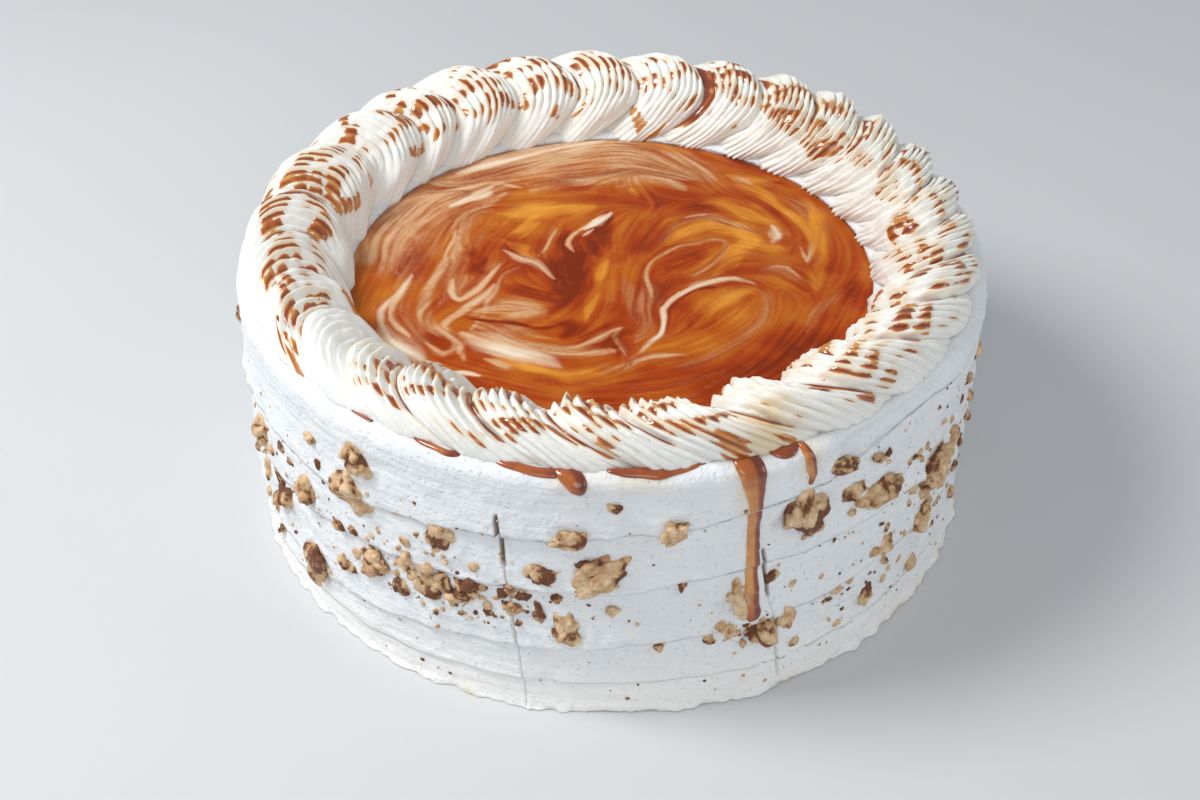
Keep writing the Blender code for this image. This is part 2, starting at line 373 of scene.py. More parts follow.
CREAM_STAINS_AND_PAINTED_LIGHT = (
    # value of each point, and the colour that it brings in: painted bounce light on the coat's foot,
    # soaked-in caramel, crumbs with painted shade in the slits
    ("painted_bounce_light", (0.97, 0.945, 0.90, 1.0)),
    ("syrup_stain", (0.74, 0.50, 0.20, 1.0)),
    ("slit_crumbs_and_shade", (0.16, 0.100, 0.045, 1.0)),
)


def cream_material(name, cream, shade, bubbles, drag, relief):
    material, tree, place = start_material(
        name,
        Subsurface_Weight=0.25,
        Subsurface_Scale=0.0025,
        Subsurface_Radius=(1.0, 0.88, 0.75),
        Specular_IOR_Level=0.35,
    )
    sockets = {"Vector": place, "Cream": (*cream, 1.0), "Shade": (*shade, 1.0)}
    sockets |= {"Bubbles": bubbles, "Drag": drag}
    grain = node(tree, "Group", sockets, node_tree=whipped_grain).outputs
    colour = grain["Colour"]
    # The first colour is painted bounce light, lighter and warmer low on the coat; the second is real
    # soaked-in caramel; the third paints crumbs and shade into the slits.
    for label, stain in CREAM_STAINS_AND_PAINTED_LIGHT:
        colour = blend_colours(tree, point_value(tree, label), colour, stain)
    finish_material(tree, colour, grain["Roughness"], grain["Height"], 0.5, relief)
    return material


coat_cream = cream_material("whipped_cream_coat", (0.85, 0.865, 0.875), (0.79, 0.80, 0.805), 0.8, 1.0, 0.0012)

SOAKED_SPOTS = (
    # bearing, height, width and height in mm, and strength of the caramel soaked in under the runs
    (288.4, 93.0, 4.5, 12.0, 0.55),
    (297.0, 95.0, 4.0, 8.0, 0.45),
    (265.0, 97.0, 6.0, 5.0, 0.35),
    (274.0, 97.0, 9.0, 4.0, 0.35),
)


def coat_stain(bearing, height):
    """How far caramel has soaked into the cream: under the runs, and in small spots at the foot."""
    stain = np.zeros(np.broadcast(bearing, height).shape)
    for at_bearing, at_height, wide, high, strength in SOAKED_SPOTS:
        away = ((bearing - at_bearing) * MM_PER_DEGREE / wide) ** 2 + ((height - at_height) / high) ** 2
        stain = stain + strength * np.exp(-away)
    spots = round_spots(bearing, height)
    low = np.clip(lattice_noise(spots, 9.0, 91) - 0.45, 0.0, 1.0) * 1.2 * np.exp(-height / 2.2)
    return np.clip(stain + low, 0.0, 0.8)


def coat_columns():
    """Bearings of the mesh's columns, with finer ones at the slits, and the middle of each slit."""
    finer = np.array((-3.2, -2.3, -1.6, -1.05, -0.62, -0.25, 0.0, 0.25, 0.62, 1.05, 1.6, 2.3, 3.2))
    columns = np.linspace(0.0, 360.0, COAT_COLUMNS, endpoint=False)
    middles = [0.5 * (path[0][0] + path[-1][0]) for path, _ in WIRE_SLITS]
    for middle in middles:
        columns = columns[np.abs(columns - middle) > 3.6 * DEGREES_PER_MM]
        columns = np.concatenate([columns, middle + finer * DEGREES_PER_MM])
    return np.sort(columns), middles


def coat_rows(columns):
    """Climb of the mesh's rows, close together at each ledge, and the rows that are a ledge's lip."""
    stops = [np.zeros_like(columns), *trowel_ledges(columns), np.full_like(columns, SHOULDER_START)]
    near = (0.1, 0.45, 1.0, 1.9)
    rows, lips = [], []
    for band, count in enumerate((9, 12, 17, 15, 14)):
        low, high = stops[band], stops[band + 1]
        below = (0.0, 0.3, 0.8, 1.5) if band == 0 else near
        above = (1.6,) if band == 4 else near[::-1]
        lips += [len(rows)] if band else []
        rows += [low + step for step in below]
        for step in range(1, count):
            share = step / count
            rows.append((low + below[-1]) * (1.0 - share) + (high - above[0]) * share)
        rows += [high - step for step in above]
    shoulder = (0.0, 1.2, 2.4, 3.7, 5.0, SHOULDER_LENGTH)
    rim = (1.5, 3.0, 5.0, 9.0, 17.0, 23.0, 26.0, 28.0, 29.5, 31.0, 32.5, 34.0, 35.2)
    rows += [np.full_like(columns, SHOULDER_START + step) for step in shoulder]
    rows += [np.full_like(columns, SHOULDER_START + SHOULDER_LENGTH + step) for step in rim]
    return np.stack(rows), lips


def level_ring(angle, radius, height):
    return np.stack([radius * np.cos(angle), radius * np.sin(angle), np.full_like(angle, height)], -1)[None]


def cream_coat():
    columns, middles = coat_columns()
    climb, lips = coat_rows(columns)
    bearing = np.broadcast_to(columns, climb.shape).copy()
    for middle, (path, _) in zip(middles, WIRE_SLITS):
        bearing += (slit_bearing(path, climb) - middle) * np.exp(-(((columns - middle) / 6.0) ** 2))
    points = coat_spots(bearing, climb)
    for lip in lips:
        points[lip, :, 2] -= 0.8 + 0.6 * lattice_noise(round_spots(columns, climb[lip]), 7.0, 85)
    # The slits are painted dark: partly brown crumbs and sponge, partly painted shade, darker where a slit is
    # deeper and in the upper runs.
    slit_darkening = np.zeros_like(climb)
    for path, runs in WIRE_SLITS:
        aside = np.abs(bearing - slit_bearing(path, climb)) * MM_PER_DEGREE
        for low, high, depth, half in runs:
            dark = 0.42 * depth * (1.0 if high > 50.0 else 0.3)
            slit_darkening += within(low, high, 1.0, climb) * dark * (1.0 - smooth_step(0.6 * half, 2.0 * half, aside))
    angle = np.radians(columns)
    under = level_ring(angle, UNDERSIDE_RADIUS, 0.0)
    recess_edge = level_ring(angle, RECESS_RADIUS + 1.2, RECESS_TOP + 0.3)
    points = np.concatenate([under, points, recess_edge, level_ring(angle, RECESS_RADIUS, RECESS_FLOOR)])
    unseen = ((1, 2), (0, 0))
    values = {
        "syrup_stain": np.pad(coat_stain(bearing, climb), unseen),
        "slit_crumbs_and_shade": np.pad(slit_darkening, unseen),
        # Painted bounce light: the coat is painted lighter and warmer towards its foot, in place of light
        # thrown up from below.
        "painted_bounce_light": 0.9 * np.exp(-((points[..., 2] / 17.0) ** 2)),
    }
    faces = capped_faces(*points.shape[:2])
    points = points.reshape(-1, 3)
    add_piece("whipped_cream_coat", points, faces, coat_cream, ["cream_coated_cake"], values)


cream_coat()

# ---------------------------------------------------------------------------------------------------
# Piped border. Real pieces: 27 loops of stiff whipped cream from a large open star tip, piped as a rope
# that overlaps counter-clockwise. The tip's teeth leave sharp fins with broad grooves across each loop.
# ---------------------------------------------------------------------------------------------------
RING_RADIUS = 108.5
RING_HALF_WIDTH = 16.0
RING_HEIGHT = 16.4
OUTER_TRAIL = 14.0
INNER_TRAIL = 10.0
SWIRL_WIDTHS = (
    11, 13, 13, 11, 16, 14, 17, 13, 12, 13, 12, 12, 12,
    11, 13, 13, 15, 13, 14, 15, 10, 16, 19, 13, 13, 13, 12,
)  # fmt: skip
FIRST_SWIRL_START = 223.0
SMOOTH_LOOP = 26
FIN_SINK = 0.60
SHARE_STEPS = 84
ARCH_STEPS = 55


def swirl_plan():
    """Start, width, bulk and number of fins of each loop, in degrees."""
    chooser = random.Random(8)
    start = FIRST_SWIRL_START
    plan = []
    for degrees in SWIRL_WIDTHS:
        width = degrees * 360.0 / sum(SWIRL_WIDTHS)
        away = (start - 305.0 + 180.0) % 360.0 - 180.0
        bulk = (1.0 + 0.08 * math.exp(-((away / 32.0) ** 2))) * chooser.uniform(0.95, 1.04)
        apart = 3.2 + 1.0 * math.exp(-(((away + 12.0) / 50.0) ** 2))
        fins = max(5, round(width * RING_RADIUS * math.pi / 180.0 / apart))
        plan.append((start, width, bulk, fins))
        start += width
    return plan


SWIRLS = swirl_plan()


def seat_height(radius):
    share = np.clip((radius - RECESS_RADIUS) / (RIM_RADIUS - RECESS_RADIUS), 0.0, 1.0)
    return RECESS_TOP + share * (SHOULDER_TOP - RECESS_TOP)


def swirl_fullness(share):
    """Size of the arch along a loop: a dome between its two creases, closed in front by a blunt nose."""
    rise = np.clip(1.0 - share / 0.36, 0.0, 1.4)
    fall = np.clip((share - 0.36) / 0.64, 0.0, 1.2)
    nose = np.sqrt(np.clip(1.0 - (np.clip(-share, 0.0, 1.0) / 0.10) ** 2, 0.0, 1.0))
    tail = 1.0 - 0.75 * smooth_step(1.02, 1.12, share)
    return nose * tail * (1.10 - 0.24 * rise**2 - 0.40 * fall**1.7)


def fin_trail(arch):
    """Degrees by which a fin has fallen back: none a little inside the crest, most at the two feet."""
    outer = np.clip((1.95 - arch) / 1.95, 0.0, 1.0)
    inner = np.clip((arch - 1.95) / 1.19, 0.0, 1.0)
    return OUTER_TRAIL * outer**1.7 + INNER_TRAIL * inner**2.0


def swirl_spots(number, share, arch, lift):
    """Points in mm on a loop. Arch runs from the outer foot (0) over the top to the inner foot (pi),
    and lift stands off the smooth loop."""
    start, width, bulk, _ = SWIRLS[number]
    size = swirl_fullness(share) * bulk
    across = np.cos(arch)
    outer, inner = np.minimum(0.42 + 0.58 * size, 1.06), np.minimum(0.24 + 0.78 * size, 1.12)
    reach = np.where(across > 0.0, outer, inner)
    radius = RING_RADIUS + RING_HALF_WIDTH * reach * across
    rise = RING_HEIGHT * size * np.sin(arch).clip(0.0) ** 0.85
    bearing = np.radians(start + width * share + fin_trail(arch))
    height = seat_height(radius) + rise - 0.5 * (np.abs(across) ** 6)
    upward = np.sin(arch) + 0.05
    length = np.hypot(upward, across)
    radius = radius + lift * across / length
    height = height + lift * upward / length
    return np.stack([radius * np.cos(bearing), radius * np.sin(bearing), height], -1)


def turned_to(number, bearing, reach):
    """1 for a loop that starts at the bearing, falling to 0 away from it."""
    away = (SWIRLS[number][0] - bearing + 180.0) % 360.0 - 180.0
    return math.exp(-((away / reach) ** 2))


def fin_depth(number, share, arch):
    """Depth in mm of the grooves between the fins: deepest near the crest, least at the inner foot."""
    front, spiky = turned_to(number, 275.0, 70.0), turned_to(number, 20.0, 45.0)
    depth = 1.2 + 1.2 * smooth_step(0.15, 1.0, arch) + 0.5 * smooth_step(1.3, 1.9, arch)
    depth = depth + 0.9 * spiky * smooth_step(0.1, 0.5, arch) * (1.0 - smooth_step(1.2, 1.8, arch))
    depth = depth * (0.58 + 0.52 * max(front, spiky)) * (0.45 + 0.55 * smooth_step(0.0, 0.35, arch))
    depth = depth * (1.0 - (0.92 - 0.45 * spiky) * smooth_step(2.05, 2.6, arch))
    depth = depth * (0.70 + 0.30 * smooth_step(0.02, 0.25, share))
    depth = depth * (1.0 - 0.45 * smooth_step(0.62, 0.98, share))
    depth = depth * (1.0 - smooth_step(0.0, 0.08, -share))
    return depth * (0.35 if number == SMOOTH_LOOP else 1.0)


def fin_spots(number, share, arch):
    """Points for noise that runs along a loop and differs from loop to loop."""
    return np.stack([share * 24.0, arch * 14.0 + 40.0 * number], -1)


def fin_phase(number, share, arch):
    """Number of fins passed along the loop: they stand closest behind the nose, and wander a little."""
    spots = fin_spots(number, share, arch)
    wander = 0.20 * lattice_noise(spots, 9.0, 101) + 0.06 * lattice_noise(spots, 2.5, 102)
    return SWIRLS[number][3] * (1.30 - 0.30 * share) * share + wander


def fin_lumps(number, share, arch):
    """Lift in mm of the soft unevenness that the fins and the caramel between them both follow."""
    spots = fin_spots(number, share, arch)
    return (0.5 + 0.6 * smooth_step(1.9, 2.5, arch)) * lattice_noise(spots, 6.0, 105)


def fin_profile(number, share, arch):
    """Lift in mm of the cream's surface: broad fins that lean clockwise over narrow grooves."""
    spots = fin_spots(number, share, arch)
    front, spiky = turned_to(number, 280.0, 60.0), turned_to(number, 20.0, 45.0)
    phase = fin_phase(number, share, arch)
    part = (phase - np.floor(phase)) ** 0.68
    profile = 0.7 * np.sin(math.pi * part).clip(0.0) ** 0.8 + 0.3 * (1.0 - np.abs(2.0 * part - 1.0))
    label = np.stack([np.floor(phase), np.full_like(phase, 3.0 * number)], -1)
    tall = 1.0 + 0.30 * lattice_noise(label, 1.0, 103)
    torn = lattice_noise(spots, 1.9, 104) * smooth_step(0.9, 1.6, arch)
    torn = torn * (1.0 - (1.0 - 0.7 * spiky) * smooth_step(2.3, 2.8, arch))
    depth = fin_depth(number, share, arch)
    lift = depth * (profile * tall - FIN_SINK)
    lift = lift + (0.24 + 0.45 * front + 0.30 * spiky) * torn * profile * depth**0.5
    return lift + fin_lumps(number, share, arch) + 0.16 * lattice_noise(spots, 1.6, 106)


piped_cream = cream_material("piped_cream", (0.89, 0.88, 0.835), (0.85, 0.825, 0.75), 0.25, 0.1, 0.00045)


def swirl_grid():
    share = np.concatenate([np.linspace(-0.098, -0.012, 7), np.linspace(0.0, 1.12, SHARE_STEPS)])
    arch = np.linspace(0.0, math.pi, ARCH_STEPS)
    return np.meshgrid(share, arch, indexing="ij")


def piped_border():
    share, arch = swirl_grid()
    faces = capped_faces(*share.shape)
    for number in range(len(SWIRLS)):
        lift = fin_profile(number, share, arch)
        points = swirl_spots(number, share, arch, lift).reshape(-1, 3)
        bearing = SWIRLS[number][0] + SWIRLS[number][1] * share + fin_trail(arch)
        soaked = np.exp(-(((bearing - 292.0) / 4.0) ** 2)) * smooth_step(0.25, 0.7, np.cos(arch))
        fill = np.clip(drizzle_fill(number, share, arch) * 0.24, 0.0, 0.5) + 0.6 * soaked
        name = f"piped_swirl_{number + 1:02d}"
        values = {"syrup_stain": fill}
        add_piece(name + "_cream", points, faces, piped_cream, [name], values)


# ---------------------------------------------------------------------------------------------------
# Caramel drizzle. Real piece: thick caramel sauce let down in wavy lines round and round the border. It
# collects in the grooves as glossy dashes, fills some creases between loops and runs over the shoulder.
# ---------------------------------------------------------------------------------------------------
DRIZZLE_LINES = (
    # place across the border (1 outer foot, -1 inner foot), wave in it, wave length in degrees,
    # half width, and how freely the sauce flows
    (0.82, 0.06, 19.0, 0.06, 0.46),
    (0.54, 0.10, 14.0, 0.09, 0.76),
    (0.22, 0.12, 17.0, 0.13, 0.86),
    (-0.12, 0.12, 23.0, 0.13, 0.66),
    (-0.42, 0.11, 12.0, 0.14, 0.72),
    (-0.72, 0.09, 21.0, 0.10, 0.26),
)
FILLED_CREASES = {
    # crease after this loop: how wide the caramel lies in it, as a share of the loop
    1: 0.06, 2: 0.07, 3: 0.05, 4: 0.10, 5: 0.10, 6: 0.07, 9: 0.05, 11: 0.06, 13: 0.05, 14: 0.05, 16: 0.17,
    18: 0.04, 20: 0.07, 21: 0.05, 22: 0.05, 23: 0.07, 24: 0.06, 25: 0.05,
}  # fmt: skip


def drizzle_fill(number, share, arch):
    """Depth in mm of caramel over the bottom of the grooves."""
    start, width, _, _ = SWIRLS[number]
    across = np.cos(arch)
    bearing = start + width * share + fin_trail(arch)
    around = np.radians(bearing)
    loop = np.stack([60.0 * np.cos(around), 60.0 * np.sin(around)], -1)
    fill = np.zeros_like(share)
    groove = np.round(fin_phase(number, share, arch))
    for line, (place, wave, length, half, freely) in enumerate(DRIZZLE_LINES):
        swing = place + wave * np.sin(math.tau * bearing / length + line)
        swing = swing + 0.16 * lattice_noise(loop, 9.0, 111 + line)
        flow = freely + 0.75 * lattice_noise(loop, 5.5, 121 + line)
        label = np.stack([groove + 0.5, np.full_like(groove, 6.0 * number + line)], -1)
        by_groove = lattice_noise(label, 1.0, 131)
        flow = np.clip(flow + 0.7 * by_groove, 0.0, 1.1)
        swing = swing + 0.10 * by_groove
        wide = half * (0.6 + 0.8 * flow)
        fill = np.maximum(fill, flow * 2.4 * np.clip(1.0 - ((across - swing) / wide) ** 2, 0.0, 1.0) ** 0.7)
    fill = np.minimum(fill, 0.58 + 0.74 * fin_depth(number, share, arch))
    if number + 1 in FILLED_CREASES:
        wide = FILLED_CREASES[number + 1]
        inner = -1.05 if wide > 0.1 else -0.55
        gate = smooth_step(inner, inner + 0.3, across) * (1.0 - smooth_step(0.75, 0.97, across))
        aside = (share - 1.0 + 0.5 * wide) / wide
        fill = np.maximum(fill, 2.6 * gate * np.clip(1.0 - aside**2, 0.0, 1.0))
    if number == SMOOTH_LOOP:
        fill = fill * 0.0
    return fill * smooth_step(-0.02, 0.03, share)


SAUCE_BY_DEPTH = (
    # from a thin film to a deep pool of sauce
    (0.0, (0.66, 0.31, 0.075, 1.0)),
    (0.30, (0.46, 0.125, 0.018, 1.0)),
    (0.65, (0.30, 0.058, 0.009, 1.0)),
    (1.0, (0.17, 0.026, 0.005, 1.0)),
)


def caramel_glaze_material():
    """Amber where it is thin, red-brown where it lies deep, with a wet skin."""
    material, tree, place = start_material(
        "caramel_sauce", Specular_IOR_Level=0.6, Coat_Weight=0.6, Coat_Roughness=0.06
    )
    drift = clouds(tree, place, 160.0, 2.0)
    deep = sums(tree, "MULTIPLY_ADD", drift, 0.7, -0.35)
    deep = sums(tree, "ADD", deep, point_value(tree, "sauce_depth"), clamp=True)
    rough = sums(tree, "MULTIPLY_ADD", drift, 0.12, 0.12)
    ripple = clouds(tree, place, 420.0, 1.0)
    finish_material(tree, colour_ramp(tree, deep, SAUCE_BY_DEPTH), rough, ripple, 0.25, 0.0004)
    return material


caramel_sauce = caramel_glaze_material()


def shell_of(points, under, depth, keep):
    """Points, faces and depths of a closed skin: the kept quads of a grid, and the same ones under it."""
    rows, columns = keep.shape[0] + 1, keep.shape[1] + 1
    quads = grid_faces(rows, columns, round_columns=False).reshape(rows - 1, columns - 1, 4)[keep]
    used, quads = np.unique(quads, return_inverse=True)
    quads = quads.reshape(-1, 4)
    edges = np.concatenate([quads[:, (k, (k + 1) % 4)] for k in range(4)])
    ordered = np.sort(edges, axis=1)
    _, first, times = np.unique(ordered, axis=0, return_index=True, return_counts=True)
    border = edges[first[times == 1]]
    count = len(used)
    wall = np.stack([border[:, 1], border[:, 0], border[:, 0] + count, border[:, 1] + count], -1)
    faces = np.concatenate([quads, quads[:, ::-1] + count, wall])
    both = np.concatenate([points.reshape(-1, 3)[used], under.reshape(-1, 3)[used]])
    return both, faces, np.tile(depth.reshape(-1)[used], 2)


def join_parts(parts):
    """One mesh from several (points, faces, values)."""
    points, faces, values, start = [], [], [], 0
    for part_points, part_faces, part_values in parts:
        points.append(part_points)
        faces += (np.asarray(part_faces) + start).tolist()
        values.append(part_values)
        start += len(part_points)
    return np.concatenate(points), faces, np.concatenate(values)


def drizzle():
    share, arch = swirl_grid()
    parts = []
    for number in range(len(SWIRLS)):
        cream = fin_profile(number, share, arch)
        bottom = fin_lumps(number, share, arch) - FIN_SINK * fin_depth(number, share, arch)
        fill = drizzle_fill(number, share, arch)
        level = bottom - 0.45 + fill
        level = np.maximum(level, cream - 0.3 + 0.45 * np.clip(fill - 1.6, 0.0, 0.9))
        level = np.where(fill > 0.02, level, cream - 0.4)
        shown = (level - cream > -0.12) & (fill > 0.02)
        keep = shown[:-1, :-1] | shown[1:, :-1] | shown[:-1, 1:] | shown[1:, 1:]
        if not keep.any():
            continue
        top = swirl_spots(number, share, arch, np.maximum(level, cream - 0.4))
        under = swirl_spots(number, share, arch, cream - 0.7)
        parts.append(shell_of(top, under, np.clip((level - cream) / 1.15, 0.0, 1.0), keep))
    points, faces, depth = join_parts(parts)
    add_piece("caramel_drizzle", points, faces, caramel_sauce, (), {"sauce_depth": depth})


# The border comes here because its cream is stained where the caramel lies.
piped_border()
drizzle()

CARAMEL_RUNS = (
    # bearing, climb, width and thickness in mm along each run, from the border down
    ((287.0, 107.0, 3.0, 0.6), (287.6, 102.5, 6.5, 0.9), (288.4, 97.5, 8.5, 1.0), (288.9, 91.0, 7.0, 0.95),
     (289.2, 84.0, 5.2, 0.8), (289.4, 74.0, 4.3, 0.7), (289.5, 62.0, 4.4, 0.7), (289.6, 52.0, 5.2, 0.75),
     (289.7, 44.0, 5.6, 0.85), (289.9, 38.0, 5.6, 1.1), (290.0, 35.0, 4.6, 0.9)),
    ((296.0, 103.5, 2.6, 0.7), (296.4, 99.0, 3.2, 0.9), (297.0, 92.5, 3.4, 1.0), (297.3, 89.5, 4.2, 1.3),
     (297.5, 87.6, 2.6, 0.9), (297.0, 84.5, 1.6, 0.6)),
    ((262.0, 102.0, 4.0, 0.9), (264.0, 99.6, 6.0, 1.2), (265.6, 96.5, 6.4, 1.5), (266.2, 93.5, 5.4, 1.7),
     (266.3, 91.4, 3.4, 1.2)),
    ((269.5, 100.8, 2.6, 0.8), (272.0, 99.6, 4.4, 1.1), (276.5, 99.2, 5.0, 1.2), (280.5, 100.0, 3.2, 0.9),
     (283.0, 101.6, 2.0, 0.6)),
    ((228.0, 103.0, 1.6, 0.5), (232.0, 100.8, 2.2, 0.7), (236.0, 99.8, 1.6, 0.5)),
    ((240.5, 102.5, 1.6, 0.5), (244.0, 100.0, 2.6, 0.8), (248.0, 98.6, 2.2, 0.8), (250.0, 99.4, 1.8, 0.6)),
    ((252.5, 102.5, 1.8, 0.6), (256.0, 99.5, 3.0, 0.9), (260.0, 98.3, 3.4, 1.0), (263.6, 98.6, 3.6, 1.0)),
    ((291.5, 102.0, 3.0, 0.8), (293.0, 99.5, 5.4, 1.0), (294.6, 98.6, 4.6, 1.0), (296.0, 101.0, 2.6, 0.7)),
)


def caramel_run(stations):
    """A bead of caramel along its stations, rounded across and at both ends, its rim in the cream."""
    stations = np.array(stations, float)
    steps = np.hypot(np.diff(stations[:, 0]) * MM_PER_DEGREE, np.diff(stations[:, 1]))
    travel = np.concatenate([[0.0], np.cumsum(steps)])
    count = int(travel[-1] / 0.7) + 8
    at = travel[-1] * (1.0 - np.cos(np.linspace(0.0, math.pi, count))) / 2.0
    at = 0.5 * at + 0.5 * np.linspace(0.0, travel[-1], count)
    track = np.stack([np.interp(at, travel, stations[:, k]) for k in range(4)], -1)
    kernel = np.hanning(9)[1:-1] / np.hanning(9)[1:-1].sum()
    padded = np.pad(track, ((3, 3), (0, 0)), mode="edge")
    track = np.stack([np.convolve(padded[:, k], kernel, "valid") for k in range(4)], -1)
    wiggle = lattice_noise(np.stack([at, np.full_like(at, stations[0, 0] * 9)], -1), 5.0, 141)
    bearing, climb, width, thick = track.T
    width = width * (1.0 + 0.18 * wiggle)
    ends = np.minimum(at, travel[-1] - at)
    blunt = np.sqrt(np.clip(1.0 - (1.0 - np.clip(ends / (0.6 * width), 0.0, 1.0)) ** 2, 0.0, 1.0))
    along_bearing, along_climb = np.gradient(bearing * MM_PER_DEGREE), np.gradient(climb)
    length = np.hypot(along_bearing, along_climb) + 1e-9
    side = np.linspace(-1.0, 1.0, 12)[None, :]
    half = (0.5 * width * np.maximum(blunt, 0.02))[:, None]
    at_bearing = bearing[:, None] + side * half * (-along_climb / length)[:, None] / MM_PER_DEGREE
    at_climb = climb[:, None] + side * half * (along_bearing / length)[:, None]
    bead = np.clip(1.0 - side**2, 0.0, 1.0) ** 0.42
    lift = (thick * np.maximum(blunt, 0.15))[:, None] * bead - 0.15
    top = coat_spots(at_bearing, at_climb, lift)
    under = coat_spots(at_bearing, at_climb, np.full_like(lift, -0.5))
    keep = np.ones((count - 1, 11), bool)
    down = np.clip(-along_climb / length, 0.0, 1.0)[:, None]
    # Downward runs are coloured darker along their right half, towards larger bearings, though the bead
    # itself is even across.
    depth = 0.12 * lift + 0.40 * (1.0 - down) + 0.80 * down * smooth_step(0.0, 0.45, side)
    head, tip = np.exp(-((at / 9.0) ** 2)), np.exp(-(((travel[-1] - at) / 3.5) ** 2))
    depth = depth + (0.45 * head + 0.6 * tip)[:, None]
    depth = np.clip(depth + 0.12 * wiggle[:, None], 0.0, 1.0)
    return shell_of(top, under, depth, keep)


run_points, run_faces, run_depth = join_parts([caramel_run(run) for run in CARAMEL_RUNS])
add_piece("caramel_runs", run_points, run_faces, caramel_sauce, (), {"sauce_depth": run_depth})

# ---------------------------------------------------------------------------------------------------
# Caramel pool. Real piece: a 4 mm layer of soft caramel in the recess, with cream dragged through it by
# a few slow turns of a spoon, so it lies in eddies of red-brown, amber, honey, tan and cream.
# ---------------------------------------------------------------------------------------------------
POOL_RADIUS = 92.6
POOL_LEVEL = 84.2
POOL_UNDERSIDE = 80.0
POOL_MIDDLE = 0.02
POOL_EVEN = 0.975
MAHOGANY = (0.20, 0.022, 0.003, 1.0)
RED_BROWN = (0.38, 0.047, 0.004, 1.0)
AMBER = (0.50, 0.128, 0.010, 1.0)
HONEY = (0.76, 0.300, 0.035, 1.0)
MILK_BROWN = (0.34, 0.115, 0.045, 1.0)
TAN = (0.66, 0.37, 0.19, 1.0)
CREAM_STREAK = (0.84, 0.71, 0.54, 1.0)
BROWN_THREAD = (0.45, 0.15, 0.05, 1.0)
MILKY_THREAD = (0.82, 0.60, 0.40, 1.0)
SWIRLED_KINDS = {
    # clear caramel from dark (0) to honey (1), share of milk, milk from brown (0) to tan (1), share of cream
    "mahogany": (0.00, 0.0, 0.0, 0.0),
    "red": (0.31, 0.0, 0.1, 0.0),
    "rust": (0.42, 0.35, 0.2, 0.0),
    "amber": (0.55, 0.0, 0.4, 0.0),
    "honey": (0.90, 0.0, 0.8, 0.0),
    "brown": (0.45, 0.85, 0.1, 0.0),
    "tan": (0.65, 0.80, 0.72, 0.0),
    "pale": (0.90, 0.85, 1.0, 0.16),
    "grey": (0.90, 0.90, 0.8, 0.55),
    "cream": (0.95, 0.90, 1.0, 0.70),
}
